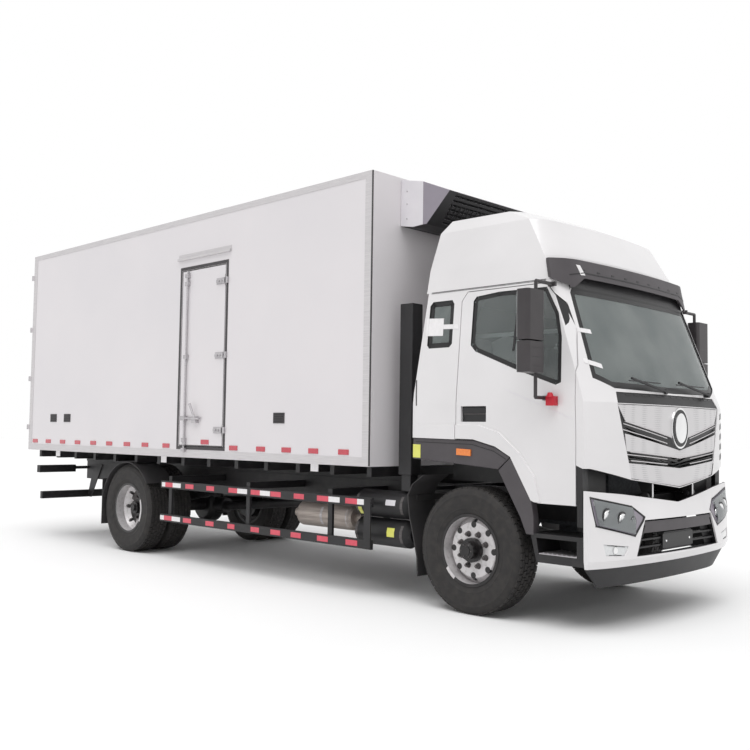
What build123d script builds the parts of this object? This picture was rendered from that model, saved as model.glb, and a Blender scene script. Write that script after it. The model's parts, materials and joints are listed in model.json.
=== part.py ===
"""A two-axle refrigerated truck with a tilting cab, an insulated load box and a nose-mounted cooling unit.

X points forward, Y to the truck's left and Z up. The origin is on the ground below the middle of the
bounding box. All sizes are millimetres. Most stations are measured from the front face of the load box.
"""
from build123d import *
from math import cos, radians, sin
import os

os.makedirs("parts", exist_ok=True)

# Main sizes of the whole truck
BOX_LENGTH = 6669.0
BOX_WIDTH = 2600.0
BOX_FLOOR_Z = 1167.0
BOX_TOP_Z = 3862.0
NOSE_AHEAD = 2335.0  # from the load box to the foremost point of the bumper
REAR_HARDWARE = 26.0  # lock rods behind the rear doors
BOX_FRONT = (BOX_LENGTH + REAR_HARDWARE - NOSE_AHEAD) / 2
BOX_REAR = BOX_FRONT - BOX_LENGTH
HALF_BOX = BOX_WIDTH / 2
TOUCH_GAP = 0.3  # between curved faces that seat on each other
PANEL_GAP = 6.0  # shut line round a door

# Axles and wheels
FRONT_AXLE_X = BOX_FRONT + 1040.0
REAR_AXLE_X = BOX_FRONT - 4200.0
AXLE_Z = 520.0
TYRE_RADIUS = AXLE_Z
TYRE_WIDTH = 280.0
RIM_FLANGE_RADIUS = 298.5
RIM_SEAT_RADIUS = 284.0
RIM_WIDTH = 236.0
RIM_FLANGE_WIDTH = 5.0
FRONT_WHEEL_Y = 1052.0
TWIN_OUTER_Y = 1076.0
TWIN_SPACING = 320.0
KINGPIN_Y = 860.0
HUB_BORE_RADIUS = 40.0
WHEEL_NUTS = 8
NUT_CIRCLE_RADIUS = 137.5
HAND_HOLES = 8
DRUM_RADIUS = 205.0

# Ladder frame
RAIL_OUTER_Y = 435.0
RAIL_FLANGE = 75.0
RAIL_WALL = 9.0
RAIL_TOP_Z = 1000.0
RAIL_BOTTOM_Z = 750.0
FRAME_FRONT_X = BOX_FRONT + 2140.0
FRAME_REAR_X = BOX_REAR + 60.0
TOW_PLATE = 12.0
TOW_BORE_RADIUS = 26.0
TOW_BORE_Z = 850.0

# Cab
CAB_PIVOT_X = BOX_FRONT + 2200.0
CAB_PIVOT_Z = 1000.0
PIVOT_PIN_RADIUS = 20.0
CAB_WALL = 45.0
CAB_FLOOR_Z = 1250.0
CAB_FLOOR_THICKNESS = 50.0
CAB_ROOF_Z = 2700.0
GLASS_THICKNESS = 6.0

# Load box
BOX_WALL = 80.0
BOX_FLOOR = 110.0
RAIL_HEIGHT = 83.0
TRIM_PROUD = 4.0


def finish(piece, name):
    """Label a finished piece and write it to its own file."""
    piece.part.label = name
    export_step(piece.part, f"parts/{name}.step")


def side_plane(y):
    """The plane at one Y place whose sketch axes are X and Z."""
    return Plane(origin=(0, y, 0), x_dir=(1, 0, 0), z_dir=(0, -1, 0))


def across_plane(x):
    """The plane at one X place whose sketch axes are Y and Z."""
    return Plane(origin=(x, 0, 0), x_dir=(0, 1, 0), z_dir=(1, 0, 0))


def side_plate(points, y_from, y_to, mode=Mode.ADD, grow=0.0):
    """A plate given by its outline in X and Z, between two Y places, its edge moved out by grow."""
    with BuildSketch(side_plane(max(y_from, y_to))) as outline:
        with BuildLine():
            Polyline(*points, close=True)
        make_face()
        if grow:
            offset(amount=grow, kind=Kind.INTERSECTION)
    extrude(outline.sketch, amount=abs(y_to - y_from), mode=mode)


def across_plates(outlines, x_from, x_to, mode=Mode.ADD, grow=0.0):
    """Plates given by their outlines in Y and Z, between two X places, their edges moved out by grow."""
    with BuildSketch(across_plane(min(x_from, x_to))) as outline:
        for points in outlines:
            with BuildLine():
                Polyline(*points, close=True)
            make_face()
        if grow:
            offset(amount=grow, kind=Kind.INTERSECTION)
    extrude(outline.sketch, amount=abs(x_to - x_from), mode=mode)


def across_plate(points, x_from, x_to, mode=Mode.ADD, grow=0.0):
    """One plate given by its outline in Y and Z, between two X places."""
    across_plates([points], x_from, x_to, mode, grow)


def block(x, y, z, mode=Mode.ADD):
    """A block between the low and high places of x, y and z."""
    with Locations(((x[0] + x[1]) / 2, (y[0] + y[1]) / 2, (z[0] + z[1]) / 2)):
        Box(x[1] - x[0], y[1] - y[0], z[1] - z[0], mode=mode)


def bar_y(x, z, radius, y_from, y_to, mode=Mode.ADD):
    """A round bar along Y."""
    with BuildSketch(side_plane(max(y_from, y_to))) as disc:
        with Locations((x, z)):
            Circle(radius)
    extrude(disc.sketch, amount=abs(y_to - y_from), mode=mode)


def bar_x(y, z, radius, x_from, x_to, mode=Mode.ADD):
    """A round bar along X."""
    with BuildSketch(across_plane(min(x_from, x_to))) as disc:
        with Locations((y, z)):
            Circle(radius)
    extrude(disc.sketch, amount=abs(x_to - x_from), mode=mode)


def bar_z(x, y, radius, z_from, z_to, mode=Mode.ADD):
    """A round bar along Z."""
    with BuildSketch(Plane.XY.offset(z_from)) as disc:
        with Locations((x, y)):
            Circle(radius)
    extrude(disc.sketch, amount=z_to - z_from, mode=mode)


SIDES = ((-1, "right"), (1, "left"))

# Ladder frame: two channel rails, their cross members and the cab hinge lugs at the front
CROSS_MEMBERS_X = (
    BOX_FRONT + 1990.0,
    BOX_FRONT + 150.0,
    BOX_FRONT - 1100.0,
    BOX_FRONT - 2400.0,
    BOX_FRONT - 3600.0,
    BOX_FRONT - 4800.0,
    BOX_REAR + 150.0,
)
CROSS_MEMBER_WIDTH = 120.0
CROSS_MEMBER_HEIGHT = 170.0
HINGE_LUG_HALF_WIDTH = 15.0
HINGE_LUG_Y = 395.0
HINGE_LUG_RADIUS = 32.0
HINGE_LUG_FOOT = 150.0

with BuildPart() as ladder_frame:
    for side, side_name in SIDES:
        channel = (
            (side * RAIL_OUTER_Y, RAIL_BOTTOM_Z),
            (side * RAIL_OUTER_Y, RAIL_TOP_Z),
            (side * (RAIL_OUTER_Y - RAIL_FLANGE), RAIL_TOP_Z),
            (side * (RAIL_OUTER_Y - RAIL_FLANGE), RAIL_TOP_Z - RAIL_WALL),
            (side * (RAIL_OUTER_Y - RAIL_WALL), RAIL_TOP_Z - RAIL_WALL),
            (side * (RAIL_OUTER_Y - RAIL_WALL), RAIL_BOTTOM_Z + RAIL_WALL),
            (side * (RAIL_OUTER_Y - RAIL_FLANGE), RAIL_BOTTOM_Z + RAIL_WALL),
            (side * (RAIL_OUTER_Y - RAIL_FLANGE), RAIL_BOTTOM_Z),
        )
        across_plate(channel, FRAME_REAR_X, FRAME_FRONT_X)
    for member_x in CROSS_MEMBERS_X:
        block(
            (member_x - CROSS_MEMBER_WIDTH / 2, member_x + CROSS_MEMBER_WIDTH / 2),
            (-RAIL_OUTER_Y + RAIL_WALL, RAIL_OUTER_Y - RAIL_WALL),
            (RAIL_TOP_Z - RAIL_WALL - CROSS_MEMBER_HEIGHT, RAIL_TOP_Z - RAIL_WALL),
        )
    block(
        (FRAME_REAR_X, FRAME_REAR_X + TOW_PLATE),
        (-RAIL_OUTER_Y + RAIL_WALL, RAIL_OUTER_Y - RAIL_WALL),
        (RAIL_BOTTOM_Z + RAIL_WALL, RAIL_TOP_Z - RAIL_WALL),
    )
    bar_x(0.0, TOW_BORE_Z, TOW_BORE_RADIUS, FRAME_REAR_X - 1.0, FRAME_REAR_X + TOW_PLATE + 1.0, mode=Mode.SUBTRACT)
    for side, side_name in SIDES:
        lug_y = side * HINGE_LUG_Y
        lug = (
            (FRAME_FRONT_X - HINGE_LUG_FOOT, RAIL_BOTTOM_Z + RAIL_WALL),
            (CAB_PIVOT_X - HINGE_LUG_RADIUS, CAB_PIVOT_Z),
            (CAB_PIVOT_X + HINGE_LUG_RADIUS, CAB_PIVOT_Z),
            (FRAME_FRONT_X, RAIL_TOP_Z - 2 * HINGE_LUG_RADIUS),
            (FRAME_FRONT_X, RAIL_BOTTOM_Z + RAIL_WALL),
        )
        lug_span = (lug_y - HINGE_LUG_HALF_WIDTH, lug_y + HINGE_LUG_HALF_WIDTH)
        side_plate(lug, *lug_span)
        bar_y(CAB_PIVOT_X, CAB_PIVOT_Z, HINGE_LUG_RADIUS, *lug_span)
        bar_y(CAB_PIVOT_X, CAB_PIVOT_Z, PIVOT_PIN_RADIUS, lug_y, lug_y - side * 90.0)
finish(ladder_frame, "ladder_frame")

# Front axle: a forged beam between the two kingpins, dropped in the middle
AXLE_BEAM_DROP = 95.0
AXLE_BEAM_HEIGHT = 100.0
AXLE_BEAM_WIDTH = 90.0
KINGPIN_RADIUS = 24.0
KINGPIN_BOSS_RADIUS = 52.0
KINGPIN_BOSS_HALF_HEIGHT = 75.0
SPRING_Y = 410.0
BEAM_BOTTOM_Z = AXLE_Z - AXLE_BEAM_DROP - AXLE_BEAM_HEIGHT / 2
BEAM_TOP_Z = BEAM_BOTTOM_Z + AXLE_BEAM_HEIGHT

with BuildPart() as front_axle_beam:
    beam_profile = (
        (-KINGPIN_Y, AXLE_Z - 45.0),
        (-KINGPIN_Y, AXLE_Z + 45.0),
        (-SPRING_Y - 210.0, AXLE_Z + 20.0),
        (-SPRING_Y - 70.0, BEAM_TOP_Z),
        (SPRING_Y + 70.0, BEAM_TOP_Z),
        (SPRING_Y + 210.0, AXLE_Z + 20.0),
        (KINGPIN_Y, AXLE_Z + 45.0),
        (KINGPIN_Y, AXLE_Z - 45.0),
        (SPRING_Y + 190.0, AXLE_Z - 70.0),
        (SPRING_Y + 50.0, BEAM_BOTTOM_Z),
        (-SPRING_Y - 50.0, BEAM_BOTTOM_Z),
        (-SPRING_Y - 190.0, AXLE_Z - 70.0),
    )
    across_plate(beam_profile, FRONT_AXLE_X - AXLE_BEAM_WIDTH / 2, FRONT_AXLE_X + AXLE_BEAM_WIDTH / 2)
    for side, side_name in SIDES:
        boss_span = (AXLE_Z - KINGPIN_BOSS_HALF_HEIGHT, AXLE_Z + KINGPIN_BOSS_HALF_HEIGHT)
        bar_z(FRONT_AXLE_X, side * KINGPIN_Y, KINGPIN_BOSS_RADIUS, *boss_span)
        bar_z(FRONT_AXLE_X, side * KINGPIN_Y, KINGPIN_RADIUS + TOUCH_GAP, *boss_span, mode=Mode.SUBTRACT)
finish(front_axle_beam, "front_axle_beam")

# Steering knuckles: a fork above and below the beam's boss, the kingpin and the stub axle
KNUCKLE_JAW_HEIGHT = 34.0
KNUCKLE_JAW_GAP = 1.0
KNUCKLE_BACK_Y = 62.0
KNUCKLE_BACK_THICKNESS = 42.0
STUB_RADIUS = HUB_BORE_RADIUS - TOUCH_GAP
STUB_END_Y = FRONT_WHEEL_Y + 70.0
STEERING_ARM_LENGTH = 190.0

for side, side_name in SIDES:
    with BuildPart() as knuckle:
        jaw_low = AXLE_Z - KINGPIN_BOSS_HALF_HEIGHT - KNUCKLE_JAW_GAP
        jaw_high = AXLE_Z + KINGPIN_BOSS_HALF_HEIGHT + KNUCKLE_JAW_GAP
        back_near = side * (KINGPIN_Y + KNUCKLE_BACK_Y)
        back_far = side * (KINGPIN_Y + KNUCKLE_BACK_Y + KNUCKLE_BACK_THICKNESS)
        for jaw_from, jaw_to in (
            (jaw_low - KNUCKLE_JAW_HEIGHT, jaw_low),
            (jaw_high, jaw_high + KNUCKLE_JAW_HEIGHT),
        ):
            bar_z(FRONT_AXLE_X, side * KINGPIN_Y, KINGPIN_BOSS_RADIUS, jaw_from, jaw_to)
            block(
                (FRONT_AXLE_X - 45.0, FRONT_AXLE_X + 45.0),
                sorted((side * KINGPIN_Y, back_far)),
                (jaw_from, jaw_to),
            )
        block(
            (FRONT_AXLE_X - 60.0, FRONT_AXLE_X + 60.0),
            sorted((back_near, back_far)),
            (jaw_low - KNUCKLE_JAW_HEIGHT, jaw_high + KNUCKLE_JAW_HEIGHT),
        )
        bar_z(
            FRONT_AXLE_X,
            side * KINGPIN_Y,
            KINGPIN_RADIUS,
            jaw_low - KNUCKLE_JAW_HEIGHT - 8.0,
            jaw_high + KNUCKLE_JAW_HEIGHT + 8.0,
        )
        bar_y(FRONT_AXLE_X, AXLE_Z, STUB_RADIUS, back_near, side * STUB_END_Y)
        block(
            (FRONT_AXLE_X - STEERING_ARM_LENGTH, FRONT_AXLE_X),
            sorted((side * (KINGPIN_Y - 30.0), side * (KINGPIN_Y + 10.0))),
            (jaw_low - KNUCKLE_JAW_HEIGHT, jaw_low),
        )
    finish(knuckle, f"steering_knuckle_{side_name}")

# Rear axle: banjo housing, its tubes and the stub ends that carry the twin wheels
REAR_TUBE_RADIUS = 78.0
REAR_TUBE_END_Y = 610.0
BANJO_RADIUS = 225.0
BANJO_HALF_WIDTH = 120.0
REAR_STUB_END_Y = TWIN_OUTER_Y + 60.0

CHAMBER_Y = 532.0
CHAMBER_RISE = 30.0
CHAMBER_RADIUS = 62.0
CHAMBER_REACH = 390.0
CHAMBER_LENGTH = 210.0
with BuildPart() as rear_axle:
    bar_y(REAR_AXLE_X, AXLE_Z, REAR_TUBE_RADIUS, -REAR_TUBE_END_Y, REAR_TUBE_END_Y)
    bar_y(REAR_AXLE_X, AXLE_Z, STUB_RADIUS, -REAR_STUB_END_Y, REAR_STUB_END_Y)
    with BuildSketch(side_plane(0)) as banjo_ring:
        with Locations((REAR_AXLE_X, AXLE_Z)):
            Circle(BANJO_RADIUS)
    extrude(amount=BANJO_HALF_WIDTH, both=True)
    chamfer(edges().filter_by(GeomType.CIRCLE).filter_by(lambda e: e.radius > BANJO_RADIUS - 1), 50.0)
    bar_x(0.0, AXLE_Z, 95.0, REAR_AXLE_X, REAR_AXLE_X + 380.0)
    for side, side_name in SIDES:
        bar_x(
            side * CHAMBER_Y,
            AXLE_Z + CHAMBER_RISE,
            CHAMBER_RADIUS,
            REAR_AXLE_X - CHAMBER_REACH,
            REAR_AXLE_X - CHAMBER_REACH + CHAMBER_LENGTH,
        )
        block(
            (REAR_AXLE_X - CHAMBER_REACH + CHAMBER_LENGTH - 4.0, REAR_AXLE_X),
            sorted((side * (CHAMBER_Y - 20.0), side * (CHAMBER_Y + 20.0))),
            (AXLE_Z, AXLE_Z + CHAMBER_RISE + 20.0),
        )
finish(rear_axle, "rear_axle")

# Leaf springs: bowed packs hung below the frame rails, with a seat and two bolts' clamp at each axle
FRONT_SPRING_HALF = 760.0
REAR_SPRING_HALF = 720.0
SPRING_WIDTH = 76.0
LEAF_THICKNESS = 18.0
LEAF_LAP = 2.0
SPRING_EYE_RADIUS = 34.0
SPRING_SETS = (
    # axle place, half length, seat height, leaves
    (FRONT_AXLE_X, FRONT_SPRING_HALF, BEAM_TOP_Z, 4),
    (REAR_AXLE_X, REAR_SPRING_HALF, AXLE_Z + REAR_TUBE_RADIUS + TOUCH_GAP, 6),
)
with BuildPart() as leaf_springs:
    for axle_x, half_length, seat_z, leaves in SPRING_SETS:
        eye_z = RAIL_BOTTOM_Z - 55.0
        for side, side_name in SIDES:
            span = (side * SPRING_Y - SPRING_WIDTH / 2, side * SPRING_Y + SPRING_WIDTH / 2)
            top_z = seat_z + leaves * LEAF_THICKNESS
            with BuildSketch(side_plane(span[1])) as pack:
                for leaf in range(leaves):
                    reach = half_length * (1.0 - 0.14 * (leaves - 1 - leaf))
                    low_z = seat_z + leaf * LEAF_THICKNESS
                    leaf_depth = LEAF_THICKNESS + LEAF_LAP * (leaf < leaves - 1)
                    rise = (eye_z - top_z) * (reach / half_length) ** 2
                    with BuildLine():
                        lower = ThreePointArc(
                            (axle_x - reach, low_z + rise), (axle_x, low_z), (axle_x + reach, low_z + rise)
                        )
                        upper = ThreePointArc(
                            (axle_x - reach, low_z + leaf_depth + rise),
                            (axle_x, low_z + leaf_depth),
                            (axle_x + reach, low_z + leaf_depth + rise),
                        )
                        Line(lower @ 0, upper @ 0)
                        Line(lower @ 1, upper @ 1)
                    make_face()
            extrude(pack.sketch, amount=SPRING_WIDTH)
            for end in (-1, 1):
                end_x = axle_x + end * half_length
                bar_y(end_x, eye_z, SPRING_EYE_RADIUS, *span)
                hanger = (
                    (end_x - 50.0, RAIL_BOTTOM_Z),
                    (end_x + 50.0, RAIL_BOTTOM_Z),
                    (end_x + 22.0, eye_z),
                    (end_x - 22.0, eye_z),
                )
                side_plate(hanger, *span)
            block(
                (axle_x - 70.0, axle_x + 70.0),
                (span[0] - 12.0, span[1] + 12.0),
                (top_z - LEAF_THICKNESS, top_z + 22.0),
            )
finish(leaf_springs, "leaf_springs")

# Engine with its gearbox: one plain block between the rails
ENGINE_FRONT_X = BOX_FRONT + 1850.0
ENGINE_REAR_X = BOX_FRONT + 850.0
ENGINE_HALF_WIDTH = RAIL_OUTER_Y - RAIL_FLANGE - 1.0
ENGINE_BOTTOM_Z = 560.0
ENGINE_TOP_Z = 1190.0
GEARBOX_REAR_X = BOX_FRONT + 260.0
GEARBOX_RADIUS = 190.0
SHAFT_Z = 700.0
SUMP_DEPTH = 150.0

with BuildPart() as engine:
    block(
        (ENGINE_REAR_X, ENGINE_FRONT_X),
        (-ENGINE_HALF_WIDTH, ENGINE_HALF_WIDTH),
        (ENGINE_BOTTOM_Z + SUMP_DEPTH, ENGINE_TOP_Z),
    )
    block(
        (FRONT_AXLE_X + 260.0, ENGINE_FRONT_X - 90.0),
        (-ENGINE_HALF_WIDTH + 110.0, ENGINE_HALF_WIDTH - 110.0),
        (ENGINE_BOTTOM_Z, ENGINE_BOTTOM_Z + SUMP_DEPTH),
    )
    bar_x(0.0, SHAFT_Z + 90.0, GEARBOX_RADIUS, GEARBOX_REAR_X, ENGINE_REAR_X)
finish(engine, "engine")

# Propeller shaft from the gearbox back to the rear axle
PROPSHAFT_RADIUS = 55.0
PROP_BEARING_X = BOX_FRONT - 1700.0
YOKE_LENGTH = 80.0
PROP_FRONT_X = GEARBOX_REAR_X
PROP_REAR_X = REAR_AXLE_X + 380.0
with BuildPart() as propshaft:
    with BuildLine() as shaft_line:
        Polyline(
            (PROP_FRONT_X, 0.0, SHAFT_Z + 60.0),
            (PROP_FRONT_X - YOKE_LENGTH, 0.0, SHAFT_Z + 60.0),
            (PROP_BEARING_X, 0.0, SHAFT_Z + 20.0),
            (PROP_REAR_X + YOKE_LENGTH, 0.0, AXLE_Z),
            (PROP_REAR_X, 0.0, AXLE_Z),
        )
    with BuildSketch(Plane(origin=shaft_line.line @ 0, z_dir=shaft_line.line % 0)):
        Circle(PROPSHAFT_RADIUS)
    sweep(path=shaft_line.line, transition=Transition.RIGHT)
    block(
        (PROP_BEARING_X - 45.0, PROP_BEARING_X + 45.0),
        (-85.0, 85.0),
        (SHAFT_Z - 60.0, SHAFT_Z + 95.0),
    )
    block(
        (PROP_BEARING_X - 45.0, PROP_BEARING_X + 45.0),
        (-RAIL_OUTER_Y + RAIL_WALL, RAIL_OUTER_Y - RAIL_WALL),
        (SHAFT_Z + 95.0, SHAFT_Z + 155.0),
    )
finish(propshaft, "propshaft")


# Wheels: a tyre and a dished steel wheel are turned about the axle, then the wheel is pierced
def axle_plane(axle_x):
    """The plane through an axle's line, with X measured out from that line and Y along it."""
    return Plane(origin=(axle_x, 0, AXLE_Z), x_dir=(1, 0, 0), z_dir=(0, 0, 1))


# Half of a tyre's section, from the bead over the widest place to the tread
TYRE_SECTIONS = (
    # radius, how far the place lies inside the tyre's widest face
    (RIM_SEAT_RADIUS + TOUCH_GAP, 30.0),
    (TYRE_RADIUS - 96.0, 0.0),
    (TYRE_RADIUS, 42.0),
)


def tyre_ring(axle_x, middle_y):
    """One tyre turned about its axle from a section that runs from bead to bead."""
    half = TYRE_WIDTH / 2
    near = [(radius, middle_y + set_in - half) for radius, set_in in TYRE_SECTIONS]
    far = [(radius, middle_y + half - set_in) for radius, set_in in reversed(TYRE_SECTIONS)]
    with BuildSketch(axle_plane(axle_x)) as section:
        with BuildLine():
            Polyline(*near, *far, close=True)
        make_face()
    revolve(section.sketch, axis=Axis((axle_x, 0, AXLE_Z), (0, 1, 0)))


def rim_ring(axle_x, middle_y, outward):
    """One rim with its flanges and its disc dished to the given side."""
    half = RIM_WIDTH / 2
    wall = 12.0
    disc_y = middle_y + outward * DISC_SET
    with BuildSketch(axle_plane(axle_x)) as section:
        with BuildLine():
            Polyline(
                (RIM_FLANGE_RADIUS, middle_y - half),
                (RIM_SEAT_RADIUS, middle_y - half + RIM_FLANGE_WIDTH),
                (RIM_SEAT_RADIUS, middle_y + half - RIM_FLANGE_WIDTH),
                (RIM_FLANGE_RADIUS, middle_y + half),
                (RIM_SEAT_RADIUS - wall, middle_y + half),
                (RIM_SEAT_RADIUS - wall, middle_y - half),
                close=True,
            )
        make_face()
        with BuildLine():
            Polyline(
                (RIM_SEAT_RADIUS - wall, disc_y - outward * 75.0),
                (RIM_SEAT_RADIUS - wall, disc_y - outward * 61.0),
                (225.0, disc_y),
                (HUB_FLANGE_INNER, disc_y),
                (HUB_FLANGE_INNER, disc_y - outward * 14.0),
                (218.0, disc_y - outward * 14.0),
                close=True,
            )
        make_face()
    revolve(section.sketch, axis=Axis((axle_x, 0, AXLE_Z), (0, 1, 0)))


DISC_SET = 62.0
HUB_FLANGE_INNER = 100.0
HAND_HOLE_CIRCLE = 232.0
HAND_HOLE_RADIUS = 24.0
NUT_RADIUS = 20.0
NUT_HEIGHT = 26.0
HUB_RADIUS = 100.0
HUB_CAP_RADIUS = 72.0
DRUM_WIDTH = 190.0

WHEEL_SETS = (
    # name, axle place, outer wheel's middle, dish of the outer wheel, twin
    ("front", FRONT_AXLE_X, FRONT_WHEEL_Y, 1, False),
    ("rear", REAR_AXLE_X, TWIN_OUTER_Y, -1, True),
)

for set_name, axle_x, outer_y, outer_dish, twin in WHEEL_SETS:
    for side, side_name in SIDES:
        rims = [(side * outer_y, side * outer_dish)]
        if twin:
            rims.append((side * (outer_y - TWIN_SPACING), side))
        disc_face_y = side * outer_y + side * outer_dish * DISC_SET
        with BuildPart() as tyre:
            for middle_y, dish in rims:
                tyre_ring(axle_x, middle_y)
        finish(tyre, f"{set_name}_tyre_{side_name}" if not twin else f"{set_name}_tyres_{side_name}")
        with BuildPart() as wheel:
            for middle_y, dish in rims:
                rim_ring(axle_x, middle_y, dish)
            with Locations(Location((axle_x, 0, AXLE_Z), (90, 0, 0))):
                with PolarLocations(HAND_HOLE_CIRCLE, HAND_HOLES):
                    Cylinder(HAND_HOLE_RADIUS, 3000.0, mode=Mode.SUBTRACT)
            hub_inner = side * (KINGPIN_Y + KNUCKLE_BACK_Y + KNUCKLE_BACK_THICKNESS + 1.0)
            if twin:
                hub_inner = side * (REAR_TUBE_END_Y + 1.0)
            hub_outer = disc_face_y + side * 40.0
            bar_y(axle_x, AXLE_Z, HUB_RADIUS, *sorted((hub_inner, hub_outer)))
            bar_y(axle_x, AXLE_Z, HUB_CAP_RADIUS, *sorted((hub_outer, hub_outer + side * 55.0)))
            drum_from = hub_inner + side * 4.0
            drum_to = drum_from + side * (DRUM_WIDTH if twin else 96.0)
            bar_y(axle_x, AXLE_Z, DRUM_RADIUS, *sorted((drum_from, drum_to)))
            for nut in range(WHEEL_NUTS):
                angle = radians((nut + 0.5) * 360.0 / WHEEL_NUTS)
                nut_x = axle_x + NUT_CIRCLE_RADIUS * cos(angle)
                nut_z = AXLE_Z + NUT_CIRCLE_RADIUS * sin(angle)
                nut_from, nut_to = sorted((drum_to, disc_face_y + side * NUT_HEIGHT))
                with BuildSketch(Plane(origin=(nut_x, nut_from, nut_z), x_dir=(1, 0, 0), z_dir=(0, 1, 0))) as flats:
                    RegularPolygon(NUT_RADIUS, 6)
                extrude(flats.sketch, amount=nut_to - nut_from)
            bore_end = side * (REAR_STUB_END_Y if twin else STUB_END_Y) + side * 1.0
            bar_y(axle_x, AXLE_Z, HUB_BORE_RADIUS, *sorted((0.0, bore_end)), mode=Mode.SUBTRACT)
        finish(wheel, f"{set_name}_wheel_{side_name}" if not twin else f"{set_name}_wheels_{side_name}")


def plan_outline(z, nose, shoulder_x, shoulder_y, side_x, half, back, back_half, inset=0.0):
    """A level outline of the cab or bumper: bowed front, two round corners, sides and a straight back."""
    front_x = BOX_FRONT + nose - inset
    corner_x = BOX_FRONT + shoulder_x - inset
    corner_y = shoulder_y - 0.3 * inset
    flank_x = BOX_FRONT + side_x - 0.7 * inset
    flank_y = half - inset
    rear_x = BOX_FRONT + back + inset
    rear_y = back_half - inset
    with BuildSketch(Plane.XY.offset(z)) as outline:
        with BuildLine():
            front = ThreePointArc((corner_x, -corner_y), (front_x, 0), (corner_x, corner_y))
            turn = front % 1
            TangentArc((corner_x, corner_y), (flank_x, flank_y), tangent=turn)
            TangentArc((corner_x, -corner_y), (flank_x, -flank_y), tangent=(turn.X, -turn.Y))
            Polyline((flank_x, flank_y), (rear_x, rear_y), (rear_x, -rear_y), (flank_x, -flank_y))
        make_face()
    return outline.sketch


def lofted_body(sections, inset=0.0, mode=Mode.ADD):
    """A body through level outlines, moved inwards all round by the inset."""
    outlines = [plan_outline(*row, inset=inset) for row in sections]
    loft(outlines, ruled=True, mode=mode)


# Bumper: a hollow shell open at the back, with a lamp bay each side and a wide air opening
BUMPER_WALL = 14.0
BUMPER_REAR = 2128.0
BUMPER_TOP_SIDE_Z = 1064.0
BUMPER_TOP_SHOULDER = (779.0, 1030.0)
BUMPER_TOP_MIDDLE_Z = 944.0
BUMPER_SECTIONS = (
    # z, nose, shoulder x, shoulder y, side x, half width, back, half width at the back
    (485.0, 2290.0, 2240.0, 800.0, 2150.0, 1175.0, 1900.0, 1182.0),
    (545.0, NOSE_AHEAD, 2285.0, 800.0, 2170.0, 1186.0, 1900.0, 1190.0),
    (830.0, 2320.0, 2270.0, 800.0, 2165.0, 1190.0, 1900.0, 1194.0),
    (1075.0, 2240.0, 2190.0, 800.0, 2150.0, 1190.0, 1900.0, 1194.0),
)
AIR_OPENING = ((-704.0, 558.0), (-575.0, 828.0), (575.0, 828.0), (704.0, 558.0))
LAMP_BAY = (
    # y, z of the right headlamp's outline
    (-1150.0, 1015.0),
    (-700.0, 935.0),
    (-570.0, 852.0),
    (-715.0, 715.0),
    (-1120.0, 805.0),
)
FOG_BAY = ((-1060.0, 668.0), (-800.0, 640.0), (-850.0, 575.0), (-1040.0, 585.0))
LAMP_GAP = 1.0
BUMPER_ARM_Z = (850.0, 880.0)
BUMPER_ARM_END = 2278.0
BUMPER_ARM_OUTER_Y = 530.0


def sided(points, side):
    """An outline drawn for the right side, or the same outline flipped to the left."""
    return tuple((-side * y, z) for y, z in points)


AHEAD_OF_NOSE = BOX_FRONT + NOSE_AHEAD + 60.0
BEHIND_BUMPER = BOX_FRONT + 1800.0
ABOVE_BUMPER = BUMPER_TOP_SIDE_Z + 100.0

with BuildPart() as bumper:
    lofted_body(BUMPER_SECTIONS)
    lofted_body(BUMPER_SECTIONS, inset=BUMPER_WALL, mode=Mode.SUBTRACT)
    block(
        (BEHIND_BUMPER, BOX_FRONT + BUMPER_REAR), (-HALF_BOX, HALF_BOX), (0.0, ABOVE_BUMPER), mode=Mode.SUBTRACT
    )
    bumper_top = (
        (-HALF_BOX, BUMPER_TOP_SIDE_Z),
        (-BUMPER_SECTIONS[-1][5], BUMPER_TOP_SIDE_Z),
        (-BUMPER_TOP_SHOULDER[0], BUMPER_TOP_SHOULDER[1]),
        (0.0, BUMPER_TOP_MIDDLE_Z),
        BUMPER_TOP_SHOULDER,
        (BUMPER_SECTIONS[-1][5], BUMPER_TOP_SIDE_Z),
        (HALF_BOX, BUMPER_TOP_SIDE_Z),
        (HALF_BOX, ABOVE_BUMPER),
        (-HALF_BOX, ABOVE_BUMPER),
    )
    across_plate(bumper_top, BEHIND_BUMPER, AHEAD_OF_NOSE, mode=Mode.SUBTRACT)
    across_plate(AIR_OPENING, BEHIND_BUMPER, AHEAD_OF_NOSE, mode=Mode.SUBTRACT)
    for side, side_name in SIDES:
        for bay in (LAMP_BAY, FOG_BAY):
            across_plate(sided(bay, side), BEHIND_BUMPER, AHEAD_OF_NOSE, mode=Mode.SUBTRACT, grow=LAMP_GAP)
        block(
            (FRAME_FRONT_X - 80.0, BOX_FRONT + BUMPER_ARM_END),
            sorted((side * RAIL_OUTER_Y, side * BUMPER_ARM_OUTER_Y)),
            BUMPER_ARM_Z,
        )
finish(bumper, "bumper")

# Lamps fill their bays from just under the skin back
LAMP_SINK = 5.0
for bay, lamp_name, lamp_depth in ((LAMP_BAY, "headlamps", 70.0), (FOG_BAY, "fog_lamps", 50.0)):
    with BuildPart() as lamps:
        lofted_body(BUMPER_SECTIONS, inset=LAMP_SINK)
        lofted_body(BUMPER_SECTIONS, inset=lamp_depth, mode=Mode.SUBTRACT)
        across_plates(
            [sided(bay, side) for side, side_name in SIDES],
            BOX_FRONT + BUMPER_REAR + 2.0,
            AHEAD_OF_NOSE,
            mode=Mode.INTERSECT,
        )
    finish(lamps, lamp_name)

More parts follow.
